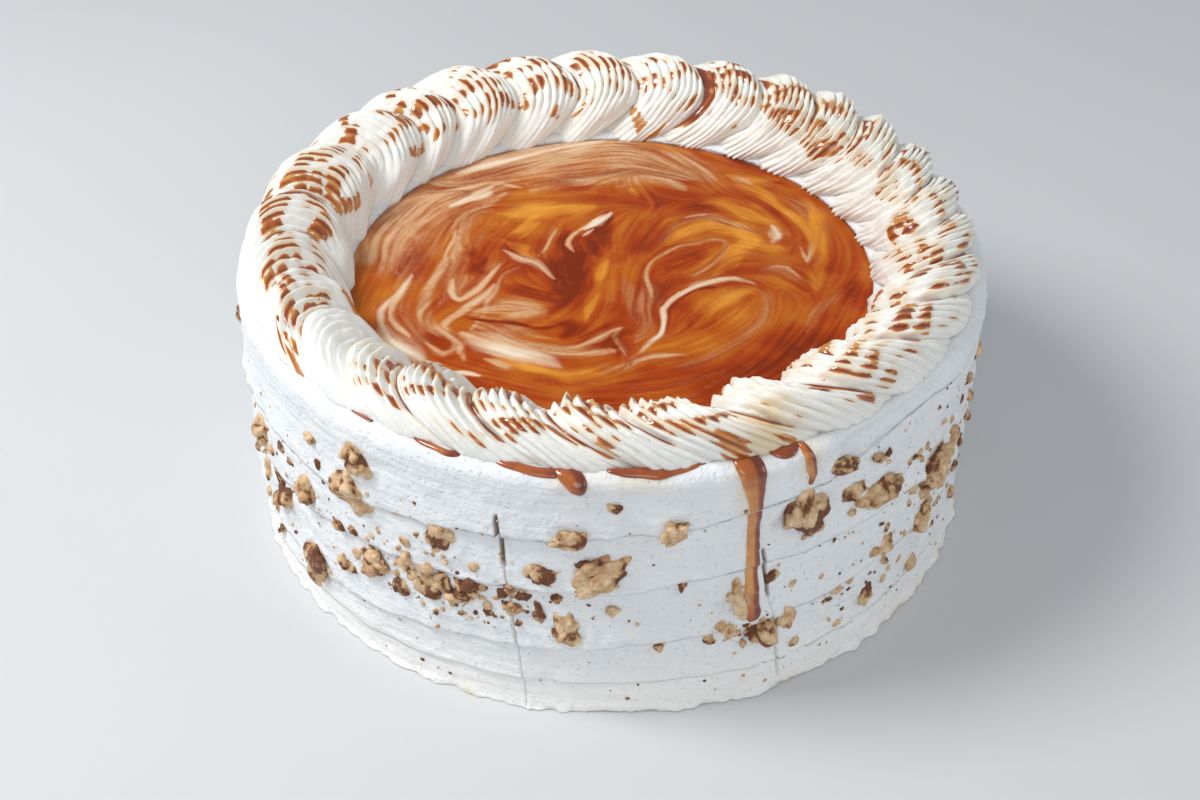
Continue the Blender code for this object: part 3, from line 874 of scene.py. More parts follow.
POOL_STROKES = (
    # what the spoon dragged along (one short cream streak is a painted highlight instead), half its width in
    # mm, and the points x, y in mm that it passed
    ("tan", 13.0, (-90, 1), (-84, 22), (-67, 49), (-44, 67), (-19, 78), (5, 82), (22, 75), (36, 64)),
    ("tan", 9.0, (-73, 38), (-80, 19), (-79, 4), (-75, -7)),
    ("brown", 3.2, (-73, 51), (-55, 59), (-41, 69), (-30, 75)),
    ("cream", 3.2, (-59, 67), (-38, 79), (-16, 88), (0, 92)),
    ("brown", 2.4, (-67, 59), (-54, 51), (-59, 44)),
    ("honey", 3.4, (10, 90), (23, 87), (33, 81)),
    ("pale", 1.4, (-62, 53), (-44, 57), (-33, 54)),
    ("brown", 2.2, (-31, 59), (-13, 62), (3, 66), (12, 67), (27, 64), (36, 63)),
    ("tan", 2.6, (-29, 49), (-26, 57), (-13, 59), (3, 59), (9, 62), (21, 60), (28, 54)),
    ("brown", 2.0, (9, 75), (15, 73), (22, 70)),
    ("amber", 5.0, (-78, -5), (-82, -24), (-80, -39), (-73, -52), (-64, -63)),
    ("rust", 4.0, (-46, 40), (-61, 25), (-66, 13), (-69, 6), (-72, -8), (-73, -24), (-69, -36), (-59, -48)),
    ("tan", 2.2, (-40, 50), (-54, 34), (-56, 16), (-57, 4), (-62, -12), (-64, -28), (-59, -38), (-52, -43)),
    ("rust", 2.2, (-47, 22), (-51, 10), (-53, 4), (-55, -13), (-59, -20)),
    ("amber", 6.0, (-38, 46), (-19, 47), (0, 50), (1, 49)),
    ("honey", 3.6, (-42, 36), (-31, 36), (-19, 38), (-5, 40)),
    ("honey", 2.6, (-42, 21), (-34, 25), (-28, 31)),
    ("red", 1.4, (-44, 34), (-41, 28)),
    ("amber", 4.0, (-28, 20), (-22, 28), (-15, 33)),
    ("honey", 2.6, (-40, 18), (-33, 13), (-28, 7), (-29, 11)),
    ("mahogany", 6.0, (-17, 24), (-16, 16), (-13, 7), (-13, 1), (-15, -15), (-20, -28)),
    ("red", 7.0, (-38, -10), (-31, -18), (-23, -21)),
    ("mahogany", 3.0, (-50, 11), (-47, 5), (-47, 3), (-50, -5)),
    ("rust", 3.0, (-59, -24), (-54, -15), (-45, -7), (-38, 3)),
    ("mahogany", 3.4, (-53, 9), (-47, 5), (-47, -2), (-42, -5)),
    ("mahogany", 3.8, (-36, -12), (-28, -17), (-20, -20)),
    ("pale", 1.1, (-54, -7), (-54, -15), (-51, -20), (-46, -15), (-41, -4), (-39, 2)),
    ("pale", 1.5, (-39, -10), (-43, -18), (-49, -26), (-55, -32), (-56, -36), (-52, -43), (-49, -48),
     (-47, -56)),
    ("tan", 0.8, (-31, 1), (-37, -5), (-39, -15), (-41, -20), (-42, -30), (-46, -40)),
    ("tan", 3.4, (-46, -28), (-34, -25), (-26, -28), (-38, -33), (-44, -32)),
    ("tan", 3.2, (-44, -36), (-31, -40), (-22, -43)),
    ("mahogany", 0.9, (-47, -31), (-38, -33), (-25, -38), (-18, -35)),
    ("mahogany", 3.4, (-21, -31), (-13, -36), (-18, -44)),
    ("red", 4.5, (3, 58), (-1, 55), (0, 47), (-3, 41)),
    ("amber", 5.5, (8, 54), (10, 38), (5, 22), (1, 7), (0, 4), (-1, -10)),
    ("red", 4.0, (18, 38), (10, 19), (4, 3), (4, 3)),
    ("mahogany", 3.2, (-1, 36), (-4, 22), (-3, 7)),
    ("honey", 2.3, (8, 54), (9, 49)),
    ("honey", 2.3, (0, 4), (-3, -5), (-5, -7), (-7, -20), (-8, -31)),
    ("rust", 2.0, (5, -7), (7, -20), (8, -34)),
    ("red", 3.0, (-6, -2), (-8, -14), (-14, -26), (-24, -36)),
    ("red", 2.4, (4, -14), (3, -26), (-2, -36)),
    ("rust", 2.6, (13, -10), (11, -24), (12, -36), (9, -45)),
    ("mahogany", 4.4, (-14, 21), (-8, 17), (-6, 9)),
    # Painted highlight: this short cream streak lies where a glint of light falls on the caramel and stands
    # in for it.
    ("cream", 1.8, (0, 36), (-5, 31), (-12, 26)),
    ("pale", 0.9, (-11, 27), (-15, 21), (-16, 15), (-13, 10)),
    ("cream", 1.1, (-7, 26), (-11, 21)),
    ("tan", 0.8, (-21, 28), (-23, 19), (-26, 7)),
    ("pale", 1.3, (-39, 11), (-33, 7), (-26, 3), (-23, -1), (-20, -7)),
    ("amber", 8.0, (31, 55), (49, 50), (61, 34), (67, 16)),
    ("amber", 6.0, (27, -7), (46, 10), (52, 16)),
    ("red", 4.0, (12, 6), (22, -8), (34, -14)),
    ("red", 3.0, (-36, 30), (-44, 16), (-48, 2)),
    ("red", 2.6, (-22, 44), (-8, 45), (6, 43)),
    ("honey", 3.2, (20, 16), (30, 26), (40, 29), (49, 25), (52, 15), (46, 10), (40, 0), (36, -5)),
    ("mahogany", 7.5, (31, 13), (25, 4), (21, -1)),
    ("red", 5.5, (33, 11), (31, 7)),
    ("rust", 1.7, (17, 16), (23, 28), (36, 34), (49, 28), (56, 21)),
    ("tan", 0.9, (27, 33), (36, 36), (45, 32), (53, 25)),
    ("red", 2.2, (25, 39), (36, 42), (49, 35), (56, 28)),
    ("honey", 2.4, (33, 44), (41, 46), (49, 39), (58, 31), (63, 25)),
    ("red", 2.8, (38, 51), (47, 52), (57, 44), (65, 31), (68, 19)),
    ("honey", 1.9, (48, 57), (58, 51), (64, 41), (71, 28), (74, 16), (73, 7)),
    ("red", 5.0, (40, 15), (31, 12), (21, 3)),
    ("mahogany", 2.6, (34, 10), (26, 5)),
    ("tan", 0.8, (13, -18), (13, -2), (21, 13), (31, 17), (39, 18), (43, 14), (36, 1), (28, -7)),
    ("honey", 3.0, (71, 49), (75, 38), (77, 25), (76, 7), (74, 4), (70, -12)),
    ("rust", 2.0, (67, 50), (72, 39), (74, 31)),
    ("cream", 2.8, (59, 28), (61, 21), (59, 16)),
    ("honey", 4.0, (54, 13), (62, 10), (64, 10)),
    ("rust", 3.0, (52, -1), (59, -1), (65, -6)),
    ("tan", 0.9, (56, 1), (62, 1), (66, -5)),
    ("tan", 0.7, (69, 13), (70, 5), (72, 9), (74, 16)),
    ("red", 9.0, (84, -8), (74, -28), (58, -52), (40, -68)),
    ("red", 11.0, (57, -15), (62, -21), (58, -33), (52, -43)),
    ("rust", 1.6, (80, -12), (72, -24), (64, -38)),
    ("amber", 5.0, (16, -51), (33, -48), (43, -36), (52, -19)),
    ("honey", 5.0, (28, -35), (33, -25), (42, -17), (48, -13)),
    ("rust", 1.2, (49, -12), (53, -20), (51, -32), (42, -43), (32, -52), (20, -59)),
    ("mahogany", 0.9, (21, -21), (28, -15), (36, -13)),
    ("cream", 1.0, (5, -55), (12, -48), (17, -41), (17, -33), (17, -25), (21, -19), (27, -14), (35, -10),
     (43, -7), (49, -10)),
    ("cream", 1.2, (23, -18), (28, -13), (38, -8), (44, -7)),
    ("amber", 5.0, (-38, -43), (-19, -51), (-3, -54), (-4, -54)),
    ("tan", 2.4, (-28, -48), (-16, -51), (0, -48), (1, -48)),
    ("cream", 4.6, (-48, -41), (-38, -47), (-28, -54), (-17, -60)),
    ("honey", 3.4, (-36, -56), (-25, -59), (-15, -62), (-3, -63)),
    ("cream", 1.8, (-50, -61), (-41, -64)),
    ("pale", 1.6, (-40, -55), (-31, -60)),
    ("amber", 5.0, (-4, -61), (9, -54), (24, -48), (35, -40)),
    ("tan", 1.6, (-4, -63), (12, -54), (26, -51)),
    ("tan", 0.9, (-11, -46), (-3, -39), (3, -37), (0, -40), (4, -48), (5, -55)),
    ("tan", 0.9, (-39, -38), (-28, -46), (-16, -48), (-8, -44), (0, -38)),
    ("grey", 3.6, (-76, -36), (-70, -47), (-60, -55)),
    ("grey", 1.0, (-70, -5), (-75, -19), (-77, -30), (-75, -39)),
    ("pale", 0.8, (-58, 23), (-60, 10), (-59, 1), (-63, -10)),
    ("pale", 0.8, (-72, -13), (-74, -23), (-73, -32), (-66, -43)),
    ("cream", 1.9, (-44, 54), (-52, 46), (-60, 39)),
    ("tan", 1.0, (-61, -46), (-54, -52), (-50, -48), (-54, -43)),
    ("honey", 5.0, (46, 64), (54, 59), (62, 60)),
    ("pale", 2.6, (48, 62), (54, 57)),
    ("red", 3.2, (40, 79), (51, 72), (59, 68)),
    ("mahogany", 1.1, (23, 90), (38, 85), (52, 75), (62, 69)),
    ("amber", 4.0, (63, 56), (71, 49)),
    ("tan", 5.0, (26, 81), (35, 69), (40, 59)),
)
POOL_VALUES = ("clear_tone", "milk_share", "milk_tone", "cream_share", "streak", "thread")


def marbled_caramel_material():
    """Clear caramel, milky caramel and cream by their shares, with streaks and threads along the flow."""
    material, tree, place = start_material(
        "marbled_caramel", Specular_IOR_Level=0.07, Coat_Weight=0.05, Coat_Roughness=0.04
    )
    tone, milk, milk_tone, cream, streak, thread = (point_value(tree, label) for label in POOL_VALUES)
    streak = sums(tree, "ADD", streak, sums(tree, "SUBTRACT", clouds(tree, place, 420.0, 2.0), 0.5))

    def drawn_out(share, amount):
        return sums(tree, "MULTIPLY_ADD", streak, amount, share, clamp=True)

    clear_stops = ((0.0, MAHOGANY), (0.28, RED_BROWN), (0.60, AMBER), (1.0, HONEY))
    clear = colour_ramp(tree, drawn_out(tone, 0.065), clear_stops)
    milky = blend_colours(tree, drawn_out(milk_tone, 0.25), MILK_BROWN, TAN)
    colour = blend_colours(tree, drawn_out(milk, sums(tree, "MULTIPLY", milk, 0.22)), clear, milky)
    creamy = sums(tree, "MULTIPLY", cream, 1.2, clamp=True)
    creamy = sums(tree, "MULTIPLY_ADD", sums(tree, "MULTIPLY", thread, 0.40), creamy, cream, clamp=True)
    colour = blend_colours(tree, creamy, colour, CREAM_STREAK)
    line = spread(tree, sums(tree, "ABSOLUTE", thread), 0.02, 0.22, 0.7, 0.0)
    line = sums(tree, "MULTIPLY", line, sums(tree, "MULTIPLY_ADD", milk, 0.75, 0.12))
    colour = blend_colours(tree, line, colour, blend_colours(tree, milk_tone, BROWN_THREAD, MILKY_THREAD))
    height = sums(tree, "MULTIPLY_ADD", cream, 0.6, sums(tree, "MULTIPLY", streak, 0.15))
    finish_material(tree, colour, sums(tree, "MULTIPLY_ADD", milk, 0.15, 0.14), height, 0.15, 0.0008)
    return material


marbled_caramel = marbled_caramel_material()


def smooth_path(path):
    """A path through the points with its corners rounded."""
    path = np.array(path, float)
    ends = np.concatenate([2.0 * path[:1] - path[1:2], path, 2.0 * path[-1:] - path[-2:-1]])
    curve = []
    for a, b, c, d in zip(ends[:-3], ends[1:-2], ends[2:-1], ends[3:]):
        bend, twist = 2 * a - 5 * b + 4 * c - d, 3 * b - a - 3 * c + d
        for t in np.arange(0.0, 1.0, 1.0 / max(2, int(np.linalg.norm(c - b) / 2.5))):
            curve.append(0.5 * (2 * b + (c - a) * t + bend * t**2 + twist * t**3))
    return np.array([*curve, path[-1]])


def stroke_fit(x, y, path):
    """For every point: how far the path is, how far along it that is, on which side, the path's
    direction there as a complex number, and the length of the whole path."""
    best, along, side, travel = np.full(x.shape, 1e9), np.zeros(x.shape), np.zeros(x.shape), 0.0
    heading = np.ones(x.shape, complex)
    for (x0, y0), (x1, y1) in zip(path[:-1], path[1:]):
        dx, dy = x1 - x0, y1 - y0
        length = math.hypot(dx, dy)
        share = np.clip(((x - x0) * dx + (y - y0) * dy) / length**2, 0.0, 1.0)
        ox, oy = x - x0 - share * dx, y - y0 - share * dy
        away = np.hypot(ox, oy)
        nearer = away < best
        best = np.where(nearer, away, best)
        along = np.where(nearer, travel + share * length, along)
        side = np.where(nearer, away * np.sign(dx * oy - dy * ox), side)
        heading = np.where(nearer, complex(dx, dy) / length, heading)
        travel += length
    return best, along, side, heading, travel


def stirred_fields(x, y):
    """What lies where in the pool: the strokes of the spoon laid over one another, first to last, and
    the square of the flow's direction, so that it has no front or back."""
    spots = np.stack([x, y], -1)
    warped_x = x + 2.0 * lattice_noise(spots, 15.0, 161) + 0.3 * lattice_noise(spots, 4.5, 162)
    warped_y = y + 2.0 * lattice_noise(spots, 15.0, 163) + 0.3 * lattice_noise(spots, 4.5, 164)
    fields = [np.full(x.shape, value) for value in (0.46, 0.0, 0.4, 0.0)]
    flow = -((x + 1j * y) ** 2) / (x**2 + y**2 + 1.0)
    for number, (kind, half, *path) in enumerate(POOL_STROKES):
        away, way, side, heading, length = stroke_fit(warped_x, warped_y, smooth_path(path))
        ends = np.clip(np.minimum(way, length - way) / (2.0 * half + 4.0), 0.0, 1.0)
        wide = half * (0.25 + 0.75 * ends**0.7)
        swell = np.stack([way, np.full_like(way, 9.0 * number)], -1)
        wide = wide * (1.0 + 0.25 * lattice_noise(swell, 8.0, 165))
        soft = 0.7 if half < 2.0 else 0.9
        frayed = np.stack([side / min(half, 4.0) * 2.0, way * 0.13, np.full_like(way, 7.0 * number)], -1)
        edge = away / wide + 0.42 * lattice_noise(frayed, 1.0, 167)
        share = (0.6 + 0.35 * ends) * (1.0 - smooth_step(1.0 - soft, 1.0 + soft, edge))
        for spot, value in enumerate(SWIRLED_KINDS[kind]):
            fields[spot] += (value - fields[spot]) * share
        flow += (heading**2 - flow) * np.exp(-((away / (1.3 * half + 3.0)) ** 2))
    fields[0] += 0.22 * lattice_noise(spots, 15.0, 166) + 0.10 * lattice_noise(spots, 6.0, 168) - 0.05
    return fields, flow


def drawn_along(x, y, flow, cell, reach, seed):
    """Noise drawn out along the flow: the mean of what lies up and down the flow line of each point,
    which steps through the directions at the nearest points of the pool's round grid."""
    rows, columns = x.shape
    heading = np.sqrt(flow / (np.abs(flow) + 1e-9))
    total = np.zeros(x.shape)
    for sense in (1.0, -1.0):
        place, ahead = x + 1j * y, sense * heading
        for step in range(reach):
            spots = np.stack([place.real, place.imag], -1)
            total += math.cos(0.5 * math.pi * step / reach) ** 2 * lattice_noise(spots, cell, seed)
            place = place + 0.9 * ahead
            row = (np.abs(place) / POOL_RADIUS - POOL_MIDDLE) / (POOL_EVEN - POOL_MIDDLE) * (rows - 4)
            row = np.rint(row).astype(int).clip(0, rows - 1)
            column = np.rint(np.angle(place) / math.tau * columns).astype(int) % columns
            turned = heading[row, column]
            ahead = np.where((turned * np.conj(ahead)).real < 0.0, -turned, turned)
    return total / total.std()


def caramel_pool():
    bearing = np.linspace(0.0, 360.0, 600, endpoint=False)
    shares = np.array((*np.linspace(POOL_MIDDLE, POOL_EVEN, 148), 0.985, 0.993, 1.0))
    edge = POOL_RADIUS + 0.5 * lattice_noise(round_spots(bearing, 0.0, 92.0), 9.0, 151)
    angle = np.radians(bearing)
    radius = shares[:, None] * edge[None, :]
    x, y = radius * np.cos(angle), radius * np.sin(angle)
    fields, flow = stirred_fields(x, y)
    fields = (*fields, drawn_along(x, y, flow, 1.1, 18, 171), drawn_along(x, y, flow, 1.8, 24, 172))
    spots = np.stack([x, y, np.zeros_like(x)], -1)
    height = POOL_LEVEL + 0.22 * lattice_noise(spots, 26.0, 152) + 0.07 * lattice_noise(spots, 8.0, 153)
    height = height + 0.18 * fields[3] - 0.3 * smooth_step(0.98, 1.0, shares)[:, None]
    top = np.stack([x, y, height], -1)[::-1]
    lower = np.stack([x[-1], y[-1], np.full_like(angle, POOL_UNDERSIDE)], -1)
    points = np.concatenate([lower[None], top])
    faces = capped_faces(*points.shape[:2])
    values = {label: np.concatenate([field[-1:], field[::-1]]) for label, field in zip(POOL_VALUES, fields)}
    points = points.reshape(-1, 3)
    add_piece("caramel_pool_marbled", points, faces, marbled_caramel, ["caramel_pool"], values)


caramel_pool()

# ---------------------------------------------------------------------------------------------------
# Walnut. Real pieces: chopped walnut kernels pressed into the soft cream, from halves of 20 mm down to
# dust. The flesh is pale tan, the papery skin is brown to nearly black, and chips show both.
# ---------------------------------------------------------------------------------------------------
TOASTED_FLESH = (0.50, 0.27, 0.115, 1.0)


def walnut_material(name, flesh, skin, skin_from):
    """Mottled flesh, toasted where it nears the skin, and papery skin where the point's own value and
    the patches together pass skin_from."""
    material, tree, place = start_material(
        name,
        Specular_IOR_Level=0.3,
        Subsurface_Weight=0.06,
        Subsurface_Scale=0.002,
        Subsurface_Radius=(1.0, 0.6, 0.3),
    )
    patches = clouds(tree, place, 170.0, 3.0, 0.6)
    mottle = clouds(tree, place, 500.0, 4.0, 0.65)
    own = point_value(tree, "skin")
    pale, dark = tuple(min(1.0, 1.18 * part) for part in flesh), tuple(0.66 * part for part in flesh)
    mottled = sums(tree, "MULTIPLY_ADD", mottle, 2.6, -0.8, clamp=True)
    flesh_tone = blend_colours(tree, mottled, (*pale, 1.0), (*dark, 1.0))
    skin_tone = blend_colours(tree, mottle, (*skin, 1.0), (*[0.42 * part for part in skin], 1.0))
    toast = sums(tree, "ADD", patches, sums(tree, "MULTIPLY", own, 0.5))
    toast = spread(tree, toast, skin_from - 0.13, skin_from + 0.03, 0.0, 0.85)
    flesh_tone = blend_colours(tree, toast, flesh_tone, TOASTED_FLESH)
    skin_share = spread(tree, sums(tree, "ADD", patches, own), skin_from, skin_from + 0.10, 0.0, 1.0)
    colour = blend_colours(tree, skin_share, flesh_tone, skin_tone)
    height = sums(tree, "MULTIPLY_ADD", patches, 1.5, mottle)
    finish_material(tree, colour, sums(tree, "MULTIPLY_ADD", mottle, 0.3, 0.42), height, 0.8, 0.0008)
    return material


walnut = walnut_material("walnut_kernel", (0.80, 0.575, 0.355), (0.24, 0.085, 0.036), 0.51)
walnut_chip = walnut_material("walnut_chip", (0.75, 0.53, 0.32), (0.22, 0.080, 0.035), 0.54)


def kernel_shape(detail):
    builder = bmesh.new()
    bmesh.ops.create_icosphere(builder, subdivisions=detail, radius=0.5)
    points = np.array([vertex.co[:] for vertex in builder.verts])
    faces = np.array([[vertex.index for vertex in face.verts] for face in builder.faces])
    builder.free()
    return points, faces


def chopped_kernel(ball, width, length, thick, seed):
    """A piece of walnut in mm: a ball cut by a few breaks, then pushed into the lobes of the kernel."""
    chooser = np.random.default_rng(seed)
    points = ball * 1.12
    for _ in range(6):
        face = chooser.normal(size=3)
        face /= np.linalg.norm(face)
        over = np.clip(points @ face - chooser.uniform(0.26, 0.44), 0.0, None)
        points = points - 0.85 * over[:, None] * face
    away = points / (np.linalg.norm(points, axis=1, keepdims=True) + 1e-9)
    far = 10.0 * seed
    lobes = np.abs(lattice_noise(points + far, 0.42, seed))
    folds = np.abs(lattice_noise(points + far, 0.20, seed + 1))
    bent = lattice_noise(points + far, 0.62, seed + 3)
    push = 0.15 * (2.6 * np.minimum(lobes, 0.5) - 0.6) + 0.05 * (2.2 * folds - 0.5) + 0.13 * bent
    crease = np.maximum(np.exp(-((lobes / 0.11) ** 2)), 0.7 * np.exp(-((folds / 0.12) ** 2)))
    return (points + away * push[:, None]) * np.array((width, length, thick)), crease


def seat_kernel(local, bearing, height, lean, sink):
    """Stands a kernel on the coat: its own z looks outward and its y upward, turned by the lean."""
    turn = math.radians(lean)
    across = local[:, 0] * math.cos(turn) - local[:, 1] * math.sin(turn)
    up = local[:, 0] * math.sin(turn) + local[:, 1] * math.cos(turn)
    radius = sink + local[:, 2]
    angle = math.radians(bearing)
    x = radius * math.cos(angle) - across * math.sin(angle)
    y = radius * math.sin(angle) + across * math.cos(angle)
    return np.stack([x, y, height + up], -1)


def walnut_pieces():
    """The 31 larger pieces, each on its own place in the frame and with that place's size and lean."""
    shapes = {True: kernel_shape(4), False: kernel_shape(3)}
    for name in sorted(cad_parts):
        if not name.startswith("nut_piece"):
            continue
        seed = int(name[-2:])
        corners = np.array([vertex.co[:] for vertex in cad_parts[name].data.vertices]) * 1000.0
        middle = (corners.max(axis=0) + corners.min(axis=0)) / 2.0
        bearing = math.degrees(math.atan2(middle[1], middle[0])) % 360.0
        angle = math.radians(bearing)
        across = -math.sin(angle) * corners[:, 0] + math.cos(angle) * corners[:, 1]
        flat = np.stack([across, corners[:, 2] - middle[2]], -1)
        _, axes = np.linalg.eigh(np.cov((flat - flat.mean(axis=0)).T))
        main = axes[:, 1] * (1.0 if axes[1, 1] > 0.0 else -1.0)
        lean = math.degrees(math.atan2(-main[0], main[1]))
        length = np.ptp(flat @ main)
        width = np.ptp(flat @ np.array((-main[1], main[0])))
        thick = 0.80 * min(width, length)
        ball, faces = shapes[length > 10.0]
        local, crease = chopped_kernel(ball, width, length, thick, seed)
        seat = float(coat_radius(bearing, middle[2])) - 0.10 * thick
        points = seat_kernel(local, bearing, middle[2], lean, seat)
        skin = 0.16 * lattice_noise(local / width + seed, 0.45, seed + 60) + 0.04 * math.sin(seed * 2.4)
        skin = skin + 0.17 * crease - 0.04
        add_piece(name + "_walnut", points, faces, walnut, [name], {"skin": skin})


walnut_pieces()

MEDIUM_BITS = (
    # bearing, height, width and length in mm of chips that lie apart from the big pieces, and skin share
    (240.5, 70.2, 8, 4.5, -0.1), (270.6, 87.0, 3.5, 4.5, 0.0), (258.5, 48.8, 5, 4, 0.2),
    (292.8, 50.4, 4.5, 6, 0.0), (295.0, 30.4, 7, 11, -0.1), (286.5, 33.8, 6, 7, 0.0),
    (305.0, 73.7, 9, 6, -0.1), (308.8, 81.9, 7, 4.5, 0.0), (311.5, 81.3, 3, 3, 0.1),
    (317.5, 59.3, 5.6, 5, 0.0), (310.0, 22.5, 5.6, 8, 0.0), (313.0, 39.9, 6, 9, -0.1),
    (229.0, 34.7, 5.6, 5, 0.0), (263.0, 48.8, 4, 4, 0.0), (266.7, 65.0, 5, 4, 0.25),
    (279.7, 54.6, 3, 5, 0.0), (276.8, 29.9, 4, 4, 0.1), (284.0, 29.5, 4, 4, 0.0),
    (270.7, 45.2, 4, 5, 0.0), (256.5, 43.6, 5, 5, 0.0), (260.5, 43.3, 4, 7, 0.0),
    (224.0, 80.2, 5, 4, 0.0), (225.7, 71.5, 2.5, 4, 0.25), (229.0, 50.7, 5, 5, 0.0),
    (235.0, 23.4, 4, 4, 0.1),
)  # fmt: skip
CHIP_ZONES = (
    # middle bearing and height, spread of both, count, smallest and largest chip in mm
    (245.5, 44.5, 6.5, 4.6, 62, 2.0, 6.5),
    (238.0, 55.0, 7.0, 8.0, 22, 1.5, 5.0),
    (250.0, 41.0, 7.0, 5.5, 40, 1.0, 3.6),
    (289.0, 31.0, 2.2, 3.5, 9, 2.5, 5.5),
    (312.0, 34.0, 9.0, 10.0, 34, 1.5, 5.0),
    (316.0, 66.0, 8.0, 8.0, 18, 1.5, 5.0),
    (212.0, 45.0, 7.0, 14.0, 30, 2.0, 6.0),
    (330.0, 52.0, 6.0, 16.0, 34, 2.0, 6.5),
    (0.0, 45.0, 14.0, 14.0, 34, 1.5, 6.0),
    (40.0, 42.0, 22.0, 12.0, 34, 1.5, 6.0),
    (95.0, 44.0, 26.0, 13.0, 42, 1.5, 6.0),
    (150.0, 46.0, 24.0, 13.0, 40, 1.5, 6.0),
    (185.0, 44.0, 14.0, 13.0, 34, 1.5, 6.0),
)


def chip(shape, bearing, height, width, length, lean, skin, seed):
    """One chip of kernel, pressed half into the cream."""
    ball, faces = shape
    thick = 0.75 * min(width, length)
    local, crease = chopped_kernel(ball, width, length, thick, seed)
    seat = float(coat_radius(bearing, height)) - 0.06 * thick
    values = skin + 0.12 * lattice_noise(local / width + seed, 0.5, seed) + 0.06 * crease
    return seat_kernel(local, bearing, height, lean, seat), faces, values


def add_chips(name, parts, material):
    points, faces, skin = join_parts(parts)
    add_piece(name, points, faces, material, (), {"skin": skin})


def scattered_chips():
    chooser = random.Random(23)
    shape = kernel_shape(3)
    parts = []
    for number, (bearing, height, width, length, skin) in enumerate(MEDIUM_BITS):
        parts.append(chip(shape, bearing, height, width, length, chooser.uniform(-40, 40), skin, number))
    add_chips("walnut_bits", parts, walnut)
    shape = kernel_shape(2)
    parts = []
    for bearing, height, wide, high, count, smallest, largest in CHIP_ZONES:
        for _ in range(count):
            at_bearing = chooser.gauss(bearing, wide)
            at_height = min(max(chooser.gauss(height, high), 8.0), 88.0)
            size = smallest + (largest - smallest) * chooser.random() ** 2.2
            width = size * chooser.uniform(0.6, 1.0)
            skin = chooser.choice((-0.12, -0.08, -0.04, 0.0, 0.04, 0.10 if size > 2.6 else 0.3))
            lean, seed = chooser.uniform(0, 180), 200 + len(parts)
            parts.append(chip(shape, at_bearing, at_height, width, size, lean, skin, seed))
    add_chips("walnut_chips", parts, walnut_chip)


CRUMB_COUNT = 1000
LEDGE_CRUMBS = 46


def crumbs():
    """Fine walnut dust and specks of skin, thickest round the clusters, and a row in the top ledge."""
    chooser = random.Random(29)
    shape = kernel_shape(1)
    parts = []
    for _ in range(LEDGE_CRUMBS):
        bearing = chooser.uniform(247.0, 258.5)
        height = float(trowel_ledges(bearing)[3]) + chooser.uniform(-1.6, 0.3)
        size = chooser.uniform(0.8, 2.4)
        lean, skin = chooser.uniform(50, 130), chooser.choice((-0.05, 0.05, 0.3))
        parts.append(chip(shape, bearing, height, 0.6 * size, size, lean, skin, 3000 + len(parts)))
    while len(parts) < CRUMB_COUNT:
        if chooser.random() < 0.62:
            zone = chooser.choice(CHIP_ZONES[:6] + CHIP_ZONES)
            bearing, height = chooser.gauss(zone[0], 1.5 * zone[2]), chooser.gauss(zone[1], 1.7 * zone[3])
        else:
            bearing, height = chooser.uniform(0.0, 360.0), 4.0 + 84.0 * chooser.random() ** 1.5
        if not 3.0 < height < 90.0:
            continue
        size = 0.5 + 1.5 * chooser.random() ** 3
        skin = chooser.choice((-0.1, 0.0, 0.05, 0.3))
        width = size * chooser.uniform(0.5, 1.0)
        lean, seed = chooser.uniform(0, 180), 900 + len(parts)
        parts.append(chip(shape, bearing, height, width, size, lean, skin, seed))
    add_chips("walnut_crumbs", parts, walnut_chip)


scattered_chips()
crumbs()

# ---------------------------------------------------------------------------------------------------
# Table top, lamps and camera: a plain pale table, soft daylight from the upper left, weaker light from
# the front and the right, and a small lamp behind that puts a few lights on the caramel.
# ---------------------------------------------------------------------------------------------------
TABLE_HALF_SIZE = 12.0
MIDDLE_OF_CAKE = (0.0, 0.0, 0.05)
DAYLIGHT = (0.98, 0.99, 1.0)


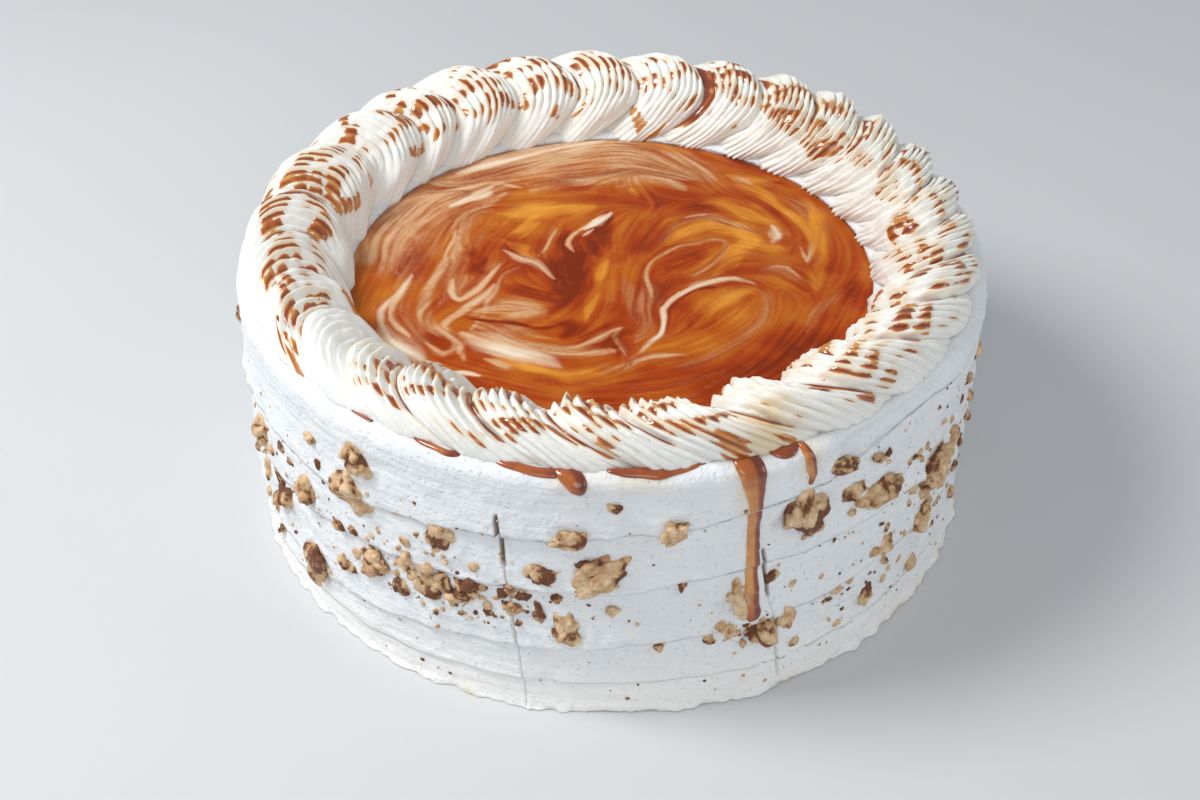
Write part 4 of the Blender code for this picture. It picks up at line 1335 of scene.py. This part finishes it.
def pale_table():
    builder = bmesh.new()
    bmesh.ops.create_grid(builder, x_segments=8, y_segments=8, size=TABLE_HALF_SIZE)
    mesh = bpy.data.meshes.new("pale_table")
    builder.to_mesh(mesh)
    builder.free()
    material, tree, place = start_material("pale_table", Roughness=0.8)
    cloud = clouds(tree, place, 3.0, 2.0)
    tone = blend_colours(tree, cloud, (0.62, 0.625, 0.63, 1.0), (0.66, 0.665, 0.67, 1.0))
    tree.links.new(tone, tree.nodes["Principled BSDF"].inputs["Base Color"])
    mesh.materials.append(material)
    table = bpy.data.objects.new("pale_table", mesh)
    bpy.context.scene.collection.objects.link(table)
    table.location = (0.0, 0.0, -0.0003)


def soft_lamp(name, place, aim, size, power, colour):
    lamp = bpy.data.lights.new(name, "AREA")
    lamp.shape = "DISK"
    lamp.size = size
    lamp.energy = power
    lamp.color = colour
    made = bpy.data.objects.new(name, lamp)
    made.location = place
    made.rotation_euler = (Vector(aim) - Vector(place)).to_track_quat("-Z", "Y").to_euler()
    bpy.context.scene.collection.objects.link(made)


pale_table()
soft_lamp("window", (-0.75, -0.10, 0.95), MIDDLE_OF_CAKE, 0.5, 10.5, DAYLIGHT)
soft_lamp("front_fill", (0.0, -1.2, 0.7), MIDDLE_OF_CAKE, 0.8, 3.1, DAYLIGHT)
soft_lamp("right_fill", (1.1, -0.35, 0.45), MIDDLE_OF_CAKE, 0.6, 1.6, (0.93, 0.96, 1.0))
soft_lamp("back_lamp", (1.0, 1.0, 0.80), (0.0, 0.0, 0.08), 0.06, 0.25, (1.0, 0.99, 0.97))
world = bpy.data.worlds.new("room")
world.use_nodes = True
sky = world.node_tree.nodes["Background"].inputs
sky["Color"].default_value = (0.90, 0.95, 1.0, 1.0)
sky["Strength"].default_value = 0.44
bpy.context.scene.world = world
bpy.context.scene.view_settings.view_transform = "Standard"

eye = bpy.data.cameras.new("camera")
eye.lens = 45.0
eye.sensor_width = 36.0
camera = bpy.data.objects.new("camera", eye)
camera.location = (0.0, -0.4440, 0.3785)
aim = Vector((-0.0035, -0.0306, 0.0485))
camera.rotation_euler = (aim - camera.location).to_track_quat("-Z", "Y").to_euler()
bpy.context.scene.collection.objects.link(camera)
bpy.context.scene.camera = camera
